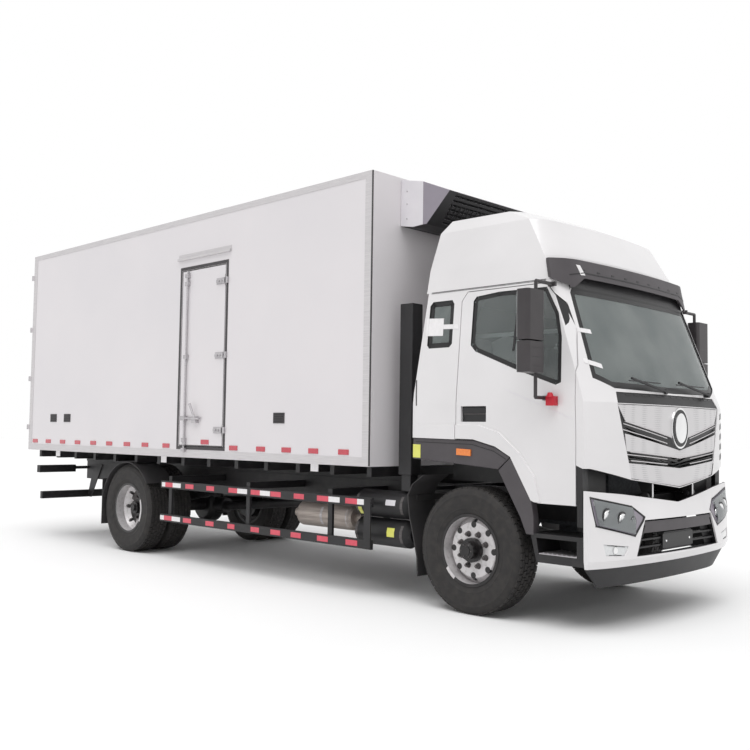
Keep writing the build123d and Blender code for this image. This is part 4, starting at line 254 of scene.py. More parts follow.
MAKERS = {
    # finish: what makes it, its own name, its two tones and what else it takes
    "white_paint": (cab_enamel,),
    "box_panel": (box_gelcoat,),
    "dark_trim": (moulded, "grey_abs", ("433F42", "4D494C"), 0.5),
    "black_plastic": (moulded, "black_abs", ("161517", "232224"), 0.5),
    "mirror_plastic": (moulded, "mirror_shell", ("312D2F", "3C383A"), 0.42),
    "rubber_flap": (moulded, "flap_rubber", ("2B2A2B", "3A3738"), 0.7),
    "seal_rubber": (moulded, "seal_rubber", ("3A3739", "474446"), 0.6),
    "window_rubber": (moulded, "window_rubber", ("121113", "1B1A1C"), 0.4),
    "unit_sheet": (moulded, "unit_sheet", ("E0DDE1", "D6D3D8"), 0.45),
    "unit_corner": (moulded, "unit_corner", ("918B95", "87818A"), 0.45),
    "red_cover": (moulded, "red_cover", ("C4182C", "A8142A"), 0.4),
    "clear_glass": (see_through, "cab_glass", "EBEFEE", ("A9AFAF", "C3C7C6"), 0.15),
    "clear_lens": (see_through, "clear_acrylic", "E6E8E8", ("C8CBCD", "D8DADA"), 0.1),
    "lamp_glass": (lens_plastic, "lamp_lens", ("DCDDDE", "CFD1D2")),
    "red_lens": (lens_plastic, "red_acrylic", ("C4384A", "B4303F")),
    "amber_lens": (lens_plastic, "amber_acrylic", ("EC8430", "DE7420")),
    "aluminium": (drawn_metal, "anodised_aluminium", ("D2CFD0", "C2BFC1"), 0.45, 0.25),
    "bright_steel": (drawn_metal, "galvanised_steel", ("C9C6C8", "A5A2A5"), 0.4, 0.6),
    "silencer_steel": (drawn_metal, "aluminised_steel", ("B9AFA8", "9A9089"), 0.38, 0.7),
    "nut_steel": (drawn_metal, "nut_steel", ("6A6666", "4C4949"), 0.45, 0.6),
    "frame_paint": (chassis_enamel, "chassis_enamel", ("1A191B", "2C2A2A"), 0.45),
    "hub_paint": (chassis_enamel, "hub_paint", ("141213", "2A2526"), 0.3),
    "tyre_rubber": (tyre_rubber,),
    "rim_paint": (rim_paint,),
    "seat_cloth": (seat_cloth,),
    "grille_mesh": (perforated_steel,),
    "engine_iron": (cast_iron,),
    "tape_red": (reflective_tape, "red_tape", ("D9485C", "CC3E52")),
    "tape_white": (reflective_tape, "white_tape", ("EDEBEC", "E2E0E1")),
    "label_yellow": (reflective_tape, "yellow_label", ("DFE06E", "D6D45E")),
    "mirror_glass": (silvered, "mirror_glass", ("E4E8E8", "D8DCDC"), 0.03),
    "reflector": (silvered, "silvered_reflector", ("F0F0F0", "E0E0E0"), 0.12),
}
MADE = {}


def finish_of(name):
    """One material per finish, made once."""
    if name not in MADE:
        maker, *values = MAKERS[name]
        MADE[name] = maker(*values)
    return MADE[name]


# Meshes


def paint(verts, finish):
    """Give the faces on some vertices one of the piece's finishes."""
    for face in {face for vert in verts for face in vert.link_faces}:
        face.material_index = finish


def bar(work, low, high, finish=0):
    """A straight bar between two corners."""
    low, high = Vector(low), Vector(high)
    size = Matrix.Diagonal(high - low).to_4x4()
    made = bmesh.ops.create_cube(work, size=1.0, matrix=Matrix.Translation((low + high) / 2) @ size)
    paint(made["verts"], finish)


def rod(work, start, end, radius, finish=0, sides=16, tip=None):
    """A round rod, or a cone that ends at the tip's radius."""
    start, end = Vector(start), Vector(end)
    along = end - start
    turn = along.to_track_quat("Z", "Y").to_matrix().to_4x4()
    made = bmesh.ops.create_cone(
        work,
        cap_ends=True,
        segments=sides,
        radius1=radius,
        radius2=radius if tip is None else tip,
        depth=along.length,
        matrix=Matrix.Translation((start + end) / 2) @ turn,
    )
    paint(made["verts"], finish)


def stud(work, x, y, z, reach, *looks):
    """A round rod across the truck, which starts at a place and reaches some way along Y."""
    rod(work, (x, y, z), (x, y + reach, z), *looks)


def raised(work, faces, along):
    """Make faces into a solid along a vector; gives back the new vertices."""
    grown = bmesh.ops.extrude_face_region(work, geom=faces)["geom"]
    verts = [part for part in grown if isinstance(part, bmesh.types.BMVert)]
    bmesh.ops.translate(work, verts=verts, vec=along)
    return verts


def prism(work, outline, along):
    """A flat outline of places, made into a solid along a vector."""
    face = bmesh.ops.contextual_create(work, geom=[work.verts.new(place) for place in outline])["faces"][0]
    raised(work, [face], along)


def turned(work, outline, centre, finish=0, steps=72):
    """A closed outline of (radius, place along the axle), spun full round an axle along Y."""
    centre = Vector(centre)
    ring = [work.verts.new(centre + Vector((radius, along, 0))) for radius, along in outline]
    edges = [work.edges.new(pair) for pair in zip(ring, ring[1:] + ring[:1])]
    before = set(work.faces)
    bmesh.ops.spin(
        work, geom=ring + edges, cent=centre, axis=(0, 1, 0), angle=math.tau, steps=steps, use_merge=True
    )
    for face in set(work.faces) - before:
        face.material_index = finish


RAYS = {
    # side: first and second flat coordinate, ray's start coordinate and place, outward direction
    "right": (0, 2, 1, -4.0, Vector((0, -1, 0))),
    "left": (0, 2, 1, 4.0, Vector((0, 1, 0))),
    "front": (1, 2, 0, 8.0, Vector((1, 0, 0))),
    "rear": (1, 2, 0, -8.0, Vector((-1, 0, 0))),
    "top": (0, 1, 2, 6.0, Vector((0, 0, 1))),
}


def skin_of(*nodes):
    """What a ray meets on some frame nodes."""
    trees = []
    for node in nodes:
        mesh = frame["nodes"][node].data
        faces = [face.vertices[:] for face in mesh.polygons]
        trees.append(BVHTree.FromPolygons([vert.co for vert in mesh.vertices], faces))
    return trees


def landed(trees, side, spot, lift):
    """The place where a ray from outside lands on the skin, lifted off it; None where it misses."""
    first, second, third, start, outward = RAYS[side]
    origin = Vector((0, 0, 0))
    origin[first], origin[second], origin[third] = spot[0], spot[1], start
    hits = [tree.ray_cast(origin, -outward) for tree in trees]
    reached = [hit[0] for hit in hits if hit[0] is not None]
    if not reached:
        return None
    return max(reached, key=lambda place: place.dot(outward)) + outward * lift


def rectangle(first, last):
    """The flat corners of an upright rectangle, from two corners across from each other."""
    return first, (last[0], first[1]), last, (first[0], last[1])


def laid(work, trees, side, corners, thick, finish=0, lift=0.0, step=0.05, rows=1):
    """A thin sheet between four flat corners, dropped from outside on to the skin."""
    a, b, c, d = [Vector(corner) for corner in corners]
    wide = max(1, math.ceil(max((b - a).length, (c - d).length) / step))
    deep = max(rows, math.ceil(max((d - a).length, (c - b).length) / step))
    made = bmesh.ops.create_grid(work, x_segments=wide, y_segments=deep, size=0.5)["verts"]
    missed = []
    for vert in made:
        across, down = vert.co.x + 0.5, vert.co.y + 0.5
        place = landed(trees, side, a.lerp(b, across).lerp(d.lerp(c, across), down), lift)
        if place is None:
            missed.append(vert)
        else:
            vert.co = place
    faces = {face for vert in made for face in vert.link_faces}
    bmesh.ops.delete(work, geom=missed, context="VERTS")
    faces = [face for face in faces if face.is_valid]
    upper = raised(work, faces, RAYS[side][4] * thick)
    paint([vert for vert in made if vert.is_valid] + upper, finish)


def strip(work, trees, side, path, width, thick, finish=0, closed=False, rows=1):
    """A narrow sheet laid along a flat path on the skin."""
    path = [Vector(place) for place in path]
    ends = path[1:] + path[:1] if closed else path[1:]
    for start, end in zip(path, ends):
        along = (end - start).normalized() * width / 2
        across = Vector((-along.y, along.x))
        start, end = start - along, end + along
        corners = (start + across, end + across, end - across, start - across)
        laid(work, trees, side, corners, thick, finish, rows=rows)


def settle(work, name, finishes, body, stands_for=(), bevel=0.0, angle=35.0):
    """Turn a worked mesh into a finished piece that rides on its body."""
    bmesh.ops.recalc_face_normals(work, faces=work.faces)
    mesh = bpy.data.meshes.new(name)
    work.to_mesh(mesh)
    work.free()
    piece = bpy.data.objects.new(name, mesh)
    bpy.context.scene.collection.objects.link(piece)
    for finish in finishes:
        mesh.materials.append(finish_of(finish))
    if bevel:
        edge = piece.modifiers.new("edge", "BEVEL")
        edge.width = bevel
        edge.segments = 2
        edge.limit_method = "ANGLE"
        edge.angle_limit = math.radians(angle)
        piece.modifiers.new("flat_faces", "WEIGHTED_NORMAL").keep_sharp = True
    mesh.shade_smooth()
    mesh.set_sharp_from_angle(angle=math.radians(angle))
    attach(piece, body)
    if stands_for:
        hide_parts(*stands_for)
    return piece


def body_of_node(node):
    """The name of the body that a frame node rides on."""
    return next(name for name, members in frame["record"]["behaviour"]["bodies"].items() if node in members)


def slot_of_node(node):
    """The material slot that the record gives a node."""
    return next(row["material_slot"] for row in frame["record"]["subparts"] if row["node"] == node)


def dress(node, bevel=0.003, angle=35.0, finish=None, zones=(), joined=True):
    """A merged copy of a frame node with softened edges, its finish, and zones of other finishes."""
    work = bmesh.new()
    work.from_mesh(frame["nodes"][node].data)
    bmesh.ops.remove_doubles(work, verts=work.verts, dist=0.00005)
    if joined:
        bmesh.ops.dissolve_limit(
            work, angle_limit=math.radians(0.5), verts=work.verts, edges=work.edges, delimit={"NORMAL"}
        )
    for index, (name, test) in enumerate(zones, 1):
        for face in work.faces:
            if test(face.calc_center_median(), face.normal):
                face.material_index = index
    slot = slot_of_node(node)
    finishes = [finish or slot] + [name for name, test in zones]
    return settle(work, "dressed_" + node, finishes, body_of_node(node), [node], bevel, angle)


def within(low, high):
    """A zone's test: the face's middle lies between two corners."""
    return lambda middle, normal: all(low[i] <= middle[i] <= high[i] for i in range(3))


# The load box


TRIM_THICK = 0.0035
RAIL_RIVETS_Z = (1.2, 3.84)
POST_INSET = 0.05
POST_RIVETS = 16
DOOR_CHANNEL = (-0.95, 0.07)
TABS_X = (-3.764, -1.231, 1.349)
VENTS_X = (-3.865, -3.491, 0.829)


class TruckBoxSettings(bpy.types.PropertyGroup):
    rivet_pitch: bpy.props.FloatProperty(
        name="Rivet pitch", description="Distance between the trim rivets", default=0.15, unit="LENGTH"
    )
    vent_depth: bpy.props.FloatProperty(
        name="Vent depth", description="How far the vent frames stand out", default=0.006, unit="LENGTH"
    )


class TRUCK_OT_load_box(bpy.types.Operator):
    """Make the insulated box, its trims, rivets, vents and tabs"""

    bl_idname = "truck.load_box"
    bl_label = "Load box"

    def execute(self, context):
        pitch, proud = context.scene.truck_box.rivet_pitch, context.scene.truck_box.vent_depth
        dress("load_box", 0.004)
        dress("marker_lamps", 0.004, finish="red_lens")
        door_seal = within((-0.92, -1.31, 1.25), (0.045, -1.2995, 3.31))
        dress("box_trims", 0.003, zones=[("seal_rubber", door_seal)])
        work = bmesh.new()
        count = int((BOX_FRONT - BOX_REAR) / pitch)
        for side in (-1, 1):
            face = side * (BOX_SIDE + TRIM_THICK)
            spots = [(BOX_REAR + (index + 0.5) * pitch, z) for index in range(count) for z in RAIL_RIVETS_Z]
            if side < 0:
                low, high = DOOR_CHANNEL
                spots = [(x, z) for x, z in spots if z > 1.3 or not low < x < high]
            posts = (BOX_FRONT - POST_INSET, BOX_REAR + POST_INSET)
            spots += [(x, 1.32 + index * pitch) for index in range(POST_RIVETS) for x in posts]
            for x, z in spots:
                stud(work, x, face, z, side * 0.003, 0.007, 0, 8, 0.004)
            for x in TABS_X:
                bar(work, (x, side * 1.255 - 0.004, 1.095), (x + 0.105, side * 1.255 + 0.004, 1.172), 1)
            face, depth = side * BOX_SIDE, side * proud
            for x in VENTS_X:
                low, high = sorted((face, face + depth))
                bar(work, (x, low, 1.55), (x + 0.17, high, 1.655), 2)
                low, high = sorted((face + depth * 0.5, face + depth * 1.6))
                for slot in range(4):
                    z = 1.567 + slot * 0.023
                    bar(work, (x + 0.015, low, z), (x + 0.155, high, z + 0.008), 3)
            low, high = sorted((side * (BOX_SIDE - 0.004), side * (BOX_SIDE + 0.0045)))
            bar(work, (BOX_FRONT - 0.012, low, 1.172), (BOX_FRONT + 0.002, high, 3.858), 2)
        finishes = ["aluminium", "tape_white", "seal_rubber", "black_plastic"]
        settle(work, "box_fittings", finishes, "chassis")
        return {"FINISHED"}


DOOR_ROD_X = -0.70
DOOR_HANDLE_Z = 1.60


class TruckDoorSettings(bpy.types.PropertyGroup):
    seal_width: bpy.props.FloatProperty(
        name="Seal width", description="Width of the rubber round the doors", default=0.03, unit="LENGTH"
    )


class TRUCK_OT_load_doors(bpy.types.Operator):
    """Make the side door and the rear doors with their hinges, rods, handles and seals"""

    bl_idname = "truck.load_doors"
    bl_label = "Load doors"

    def execute(self, context):
        width = context.scene.truck_door.seal_width
        proud = lambda middle, normal: middle.y < -1.3012
        dress("side_door", 0.003, zones=[("bright_steel", proud)])
        work = bmesh.new()
        x, y, z = DOOR_ROD_X, -1.302, DOOR_HANDLE_Z
        for keeper in (1.25, 1.36, 2.28, 3.10, 3.19):
            bar(work, (x - 0.03, -1.335, keeper - 0.022), (x + 0.03, y, keeper + 0.022))
        for hinge in (1.474, 2.273, 3.074):
            heel = [(-0.02, -1.318, hinge - 0.03), (-0.02, -1.318, hinge + 0.03)]
            toe = [(-0.17, -1.314, hinge + 0.014), (-0.17, -1.314, hinge - 0.014)]
            prism(work, heel + toe, (0, 0.01, 0))
            for bolt in (-0.12, -0.07):
                stud(work, bolt, -1.318, hinge, -0.006, 0.012, 0, 10)
        bar(work, (x - 0.05, -1.345, z - 0.025), (x + 0.04, y, z + 0.025))
        rod(work, (x, -1.336, z), (x + 0.30, -1.336, z - 0.006), 0.011, 0, 12)
        rod(work, (x + 0.22, -1.336, z), (x + 0.14, -1.352, z + 0.16), 0.011, 0, 12, 0.015)
        bar(work, (x + 0.17, -1.342, z - 0.05), (x + 0.25, y, z + 0.02))
        bar(work, (-0.395, -1.307, 1.318), (-0.255, -1.300, 1.368), 1)
        path = ((-0.815, 1.303), (-0.815, 3.249), (-0.015, 3.249), (-0.015, 1.303))
        strip(work, skin_of("side_door"), "right", path, width * 0.25, 0.001, 2, closed=True)
        finishes = ["bright_steel", "red_lens", "seal_rubber"]
        settle(work, "side_door_fittings", finishes, "side_door", bevel=0.002)
        proud = lambda middle, normal: middle.x < BOX_REAR - 0.0012
        for side, side_name in SIDES:
            node = "rear_door_" + side_name
            dress(node, 0.003, zones=[("bright_steel", proud)])
            work = bmesh.new()
            inner, outer = side * (0.004 + width / 2), side * 1.20
            path = ((inner, 1.285), (inner, 3.775), (outer, 3.775), (outer, 1.285))
            strip(work, skin_of(node), "rear", path, width, 0.003, 0, closed=True)
            for index in range(7):
                y, z = side * 1.17, 1.4 + index * 0.37
                rod(work, (BOX_REAR, y, z), (BOX_REAR - 0.006, y, z), 0.008, 1, 8, 0.005)
            settle(work, node + "_seal", ["seal_rubber", "bright_steel"], node)
        return {"FINISHED"}


class TruckUnitSettings(bpy.types.PropertyGroup):
    fin_count: bpy.props.IntProperty(name="Fins", description="Fins in the cooling unit's front", default=24)


class TRUCK_OT_cooling_unit(bpy.types.Operator):
    """Make the cooling unit on the box's front: pale cheeks, grey corners and a dark finned front"""

    bl_idname = "truck.cooling_unit"
    bl_label = "Cooling unit"

    def execute(self, context):
        cheek = lambda middle, normal: abs(normal.y) > 0.97 and abs(middle.y) > 0.8
        corner = lambda middle, normal: 0.3 < abs(normal.y) < 0.97
        crown = lambda middle, normal: normal.z > 0.9
        zones = [("unit_sheet", cheek), ("unit_corner", corner), ("unit_sheet", crown)]
        dress("cooling_unit", 0.004, zones=zones)
        work = bmesh.new()
        trees = skin_of("cooling_unit")
        fins = context.scene.truck_unit.fin_count
        for index in range(fins):
            y = -0.70 + 1.40 * index / (fins - 1)
            laid(work, trees, "front", rectangle((y - 0.004, 3.42), (y + 0.004, 3.66)), 0.006)
        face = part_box("cooling_unit")[1].y
        for side in (-1, 1):
            for z in (3.46, 3.60, 3.72):
                stud(work, 2.26, side * face, z, side * 0.004, 0.009, 1, 10, 0.006)
        settle(work, "unit_fins", ["black_plastic", "bright_steel"], "chassis")
        return {"FINISHED"}


# Wheels


class TruckWheelSettings(bpy.types.PropertyGroup):
    tread_depth: bpy.props.FloatProperty(
        name="Tread depth", description="Depth of the grooves in the tread", default=0.013, unit="LENGTH"
    )
    tread_blocks: bpy.props.IntProperty(
        name="Tread blocks", description="Blocks in one rib round a tyre", default=56
    )


SIDEWALL = (
    # radius, distance from the tyre's middle
    (0.2848, 0.104),
    (0.2960, 0.1120),
    (0.3075, 0.1165),
    (0.3200, 0.1235),
    (0.3400, 0.1290),
    (0.3420, 0.1310),
    (0.3480, 0.1320),
    (0.3500, 0.1308),
    (0.3850, 0.1375),
    (0.4240, 0.1398),
    (0.4520, 0.1385),
    (0.4540, 0.1396),
    (0.4600, 0.1388),
    (0.4620, 0.1372),
    (0.4800, 0.1325),
    (0.4950, 0.1250),
    (0.5030, 0.1170),
)
RIBS = (
    # inner edge, outer edge, share of a block's pitch by which the rib is turned on
    (-0.112, -0.072, 0.0),
    (-0.064, -0.025, 0.5),
    (-0.018, 0.018, 0.0),
    (0.025, 0.064, 0.5),
    (0.072, 0.112, 0.0),
)
AXLES = (
    # tyre node start, wheel node start, axle place, twin
    ("front_tyre_", "front_wheel_", 3.22, False),
    ("rear_tyres_", "rear_wheels_", -2.02, True),
)
AXLE_Z = 0.52
TREAD_RADIUS = 0.5196
TWIN_INSET = 0.14
DISC_INSET = 0.062
NUTS = 8
NUT_CIRCLE = 0.1375
# The black discs painted over the hand holes as their shade: how many, and the circle they lie on.
SHADED_HAND_HOLES = 8
SHADED_HAND_HOLE_CIRCLE = 0.208
CAP_REACH = 0.094
CAP_BOLTS = 6
CAP_BOLT_CIRCLE = 0.053


def on_circle(axle_x, radius, share):
    """The place on a circle round an axle, a share of a full turn on."""
    return axle_x + radius * math.cos(share * math.tau), AXLE_Z + radius * math.sin(share * math.tau)


def tyre(work, axle_x, middle_y, depth, blocks):
    """One tyre: a spun carcass with plain sidewall rings, and blocks in five ribs."""
    base = TREAD_RADIUS - depth
    side = [(min(radius, base + 0.002), y) for radius, y in SIDEWALL]
    edge = RIBS[-1][1]
    outline = side + [(base, edge), (base, -edge)] + [(radius, -y) for radius, y in reversed(side)]
    turned(work, [(radius, middle_y + y) for radius, y in outline], (axle_x, 0, AXLE_Z), 0, 96)
    pitch = math.tau / blocks
    tall = depth + 0.003
    hub = Matrix.Translation((axle_x, middle_y, AXLE_Z))
    for inner, outer, shift in RIBS:
        size = Matrix.Diagonal((tall, outer - inner, TREAD_RADIUS * pitch * 0.86)).to_4x4()
        place = Matrix.Translation((TREAD_RADIUS - 0.0006 - tall / 2, (inner + outer) / 2, 0))
        for index in range(blocks):
            turn = Matrix.Rotation((index + shift) * pitch, 4, "Y")
            bmesh.ops.create_cube(work, size=1.0, matrix=hub @ turn @ place @ size)


def wheel_fittings(work, side, axle_x, face, valve):
    """Nuts with their washers, black discs painted over the hand holes as their shade, a hub cap with bolts
    and a valve on a wheel's disc.
    """
    for index in range(NUTS):
        x, z = on_circle(axle_x, NUT_CIRCLE, (index + 0.5) / NUTS)
        stud(work, x, face, z, side * 0.006, 0.026, 0, 24, 0.022)
        stud(work, x, face + side * 0.024, z, side * 0.018, 0.013, 0, 12, 0.011)
    # Painted shade: a black disc just proud of the wheel's disc over each hand hole stands in for the dark
    # seen through it, which is shade and the dark drum behind.
    for index in range(SHADED_HAND_HOLES):
        x, z = on_circle(axle_x, SHADED_HAND_HOLE_CIRCLE, index / SHADED_HAND_HOLES)
        stud(work, x, face - side * 0.004, z, side * 0.005, 0.027, 1, 24, 0.026)
    cap = face + side * CAP_REACH
    for radius, reach in ((0.064, 0.006), (0.04, 0.010)):
        stud(work, axle_x, cap - side * 0.002, AXLE_Z, side * reach, radius, 1, 32, radius * 0.94)
    for index in range(CAP_BOLTS):
        x, z = on_circle(axle_x, CAP_BOLT_CIRCLE, index / CAP_BOLTS)
        stud(work, x, cap, z, side * 0.008, 0.006, 0, 6)
    stud(work, axle_x + 0.25, valve, AXLE_Z + 0.03, side * 0.028, 0.005, 0, 10)


class TRUCK_OT_wheels(bpy.types.Operator):
    """Make the tyres with their treads, and the rims with nuts, hub covers and valves"""

    bl_idname = "truck.wheels"
    bl_label = "Wheels"

    def execute(self, context):
        settings = context.scene.truck_wheel
        for tyre_name, wheel_name, axle_x, twin in AXLES:
            for side, side_name in SIDES:
                low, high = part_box(tyre_name + side_name)
                middles = {low.y + TWIN_INSET, high.y - TWIN_INSET} if twin else {(low.y + high.y) / 2}
                body = body_of_node(wheel_name + side_name)
                work = bmesh.new()
                for middle_y in middles:
                    tyre(work, axle_x, middle_y, settings.tread_depth, settings.tread_blocks)
                settle(work, "tyre_" + body, ["tyre_rubber"], body, [tyre_name + side_name])
                outer_y = max(abs(y) for y in middles)
                disc_y = outer_y + (-DISC_INSET if twin else DISC_INSET)

                def spoke(middle):
                    """How far a face's middle lies from the axle."""
                    return math.hypot(middle.x - axle_x, middle.z - AXLE_Z)

                def zone(low, high, proud):
                    """A zone's test: faces of the disc or in front of it, at some distance from the axle."""
                    return lambda middle, normal: low < spoke(middle) < high and abs(middle.y) > proud

                drum = lambda middle, normal: spoke(middle) < 0.2065 and abs(middle.y) < disc_y - 0.02
                zones = [
                    ("nut_steel", zone(0.112, 0.163, disc_y + 0.001)),
                    ("hub_paint", zone(-1.0, 0.1035, disc_y + 0.001)),
                    ("frame_paint", drum),
                ]
                dress(wheel_name + side_name, 0.002, zones=zones)
                work = bmesh.new()
                wheel_fittings(work, side, axle_x, side * disc_y, side * (outer_y + 0.085))
                settle(work, "hub_fittings_" + body, ["nut_steel", "hub_paint"], body)
        return {"FINISHED"}


# The cab


def smooth_skin(node):
    """What a ray meets on the convex outside of a frame node, whose openings it closes."""
    work = bmesh.new()
    work.from_mesh(frame["nodes"][node].data)
    bmesh.ops.convex_hull(work, input=work.verts)
    tree = BVHTree.FromBMesh(work)
    work.free()
    return [tree]


def ahead(outline):
    """An outline in millimetres in front of the box, turned to metres of the shared frame."""
    return [(BOX_FRONT + x / 1000, z / 1000) for x, z in outline]


DOOR_WINDOW = (
    (1006, 2215),
    (1010, 2590),
    (1040, 2625),
    (1270, 2645),
    (1738, 2640),
    (1858, 2425),
    (1896, 2240),
    (1908, 1880),
    (1860, 1862),
    (1478, 1995),
    (1060, 2160),
)
QUARTER_WINDOW = (
    (545, 2210),
    (520, 2240),
    (528, 2585),
    (560, 2620),
    (775, 2620),
    (800, 2585),
    (800, 2240),
    (770, 2210),
)
SCREEN = (
    (-1.030, 1.915),
    (-0.835, 1.842),
    (0.0, 1.828),
    (0.835, 1.842),
    (1.030, 1.915),
    (0.962, 2.600),
    (0.930, 2.642),
    (-0.930, 2.642),
    (-0.962, 2.600),
)
CHEVRONS = (
    # upper edge's height in the middle, its outer end, lower edge's outer end, its height in the middle
    (1.717, (0.864, 1.717), (0.770, 1.589), 1.446),
    (1.362, (0.780, 1.495), (0.757, 1.360), 1.302),
    (1.218, (0.735, 1.268), (0.693, 1.149), 1.075),
)
SLAT_LINES = (
    # height in the middle, outer end
    (1.425, (0.790, 1.570)),
    (1.385, (0.795, 1.525)),
    (1.280, (0.750, 1.335)),
    (1.240, (0.742, 1.290)),
)
LAMP_EDGE = ((1.150, 1.015), (0.700, 0.935), (0.570, 0.852), (0.715, 0.715), (1.120, 0.805))
PLATE_X = 4.455
FOG_EDGE = ((1.060, 0.668), (0.800, 0.640), (0.850, 0.575), (1.040, 0.585))
BADGE_RINGS = (
    # how far a disc stands out, its half width, its half height, finish
    (0.016, 0.146, 0.173, 3),
    (0.020, 0.130, 0.157, 2),
    (0.024, 0.100, 0.126, 3),
)


class TruckCabSettings(bpy.types.PropertyGroup):
    panel_edge: bpy.props.FloatProperty(
        name="Panel edge", description="How far the pressed edges are rounded", default=0.006, unit="LENGTH"
    )
    frame_width: bpy.props.FloatProperty(
        name="Window frame", description="Width of the window rubbers", default=0.034, unit="LENGTH"
    )


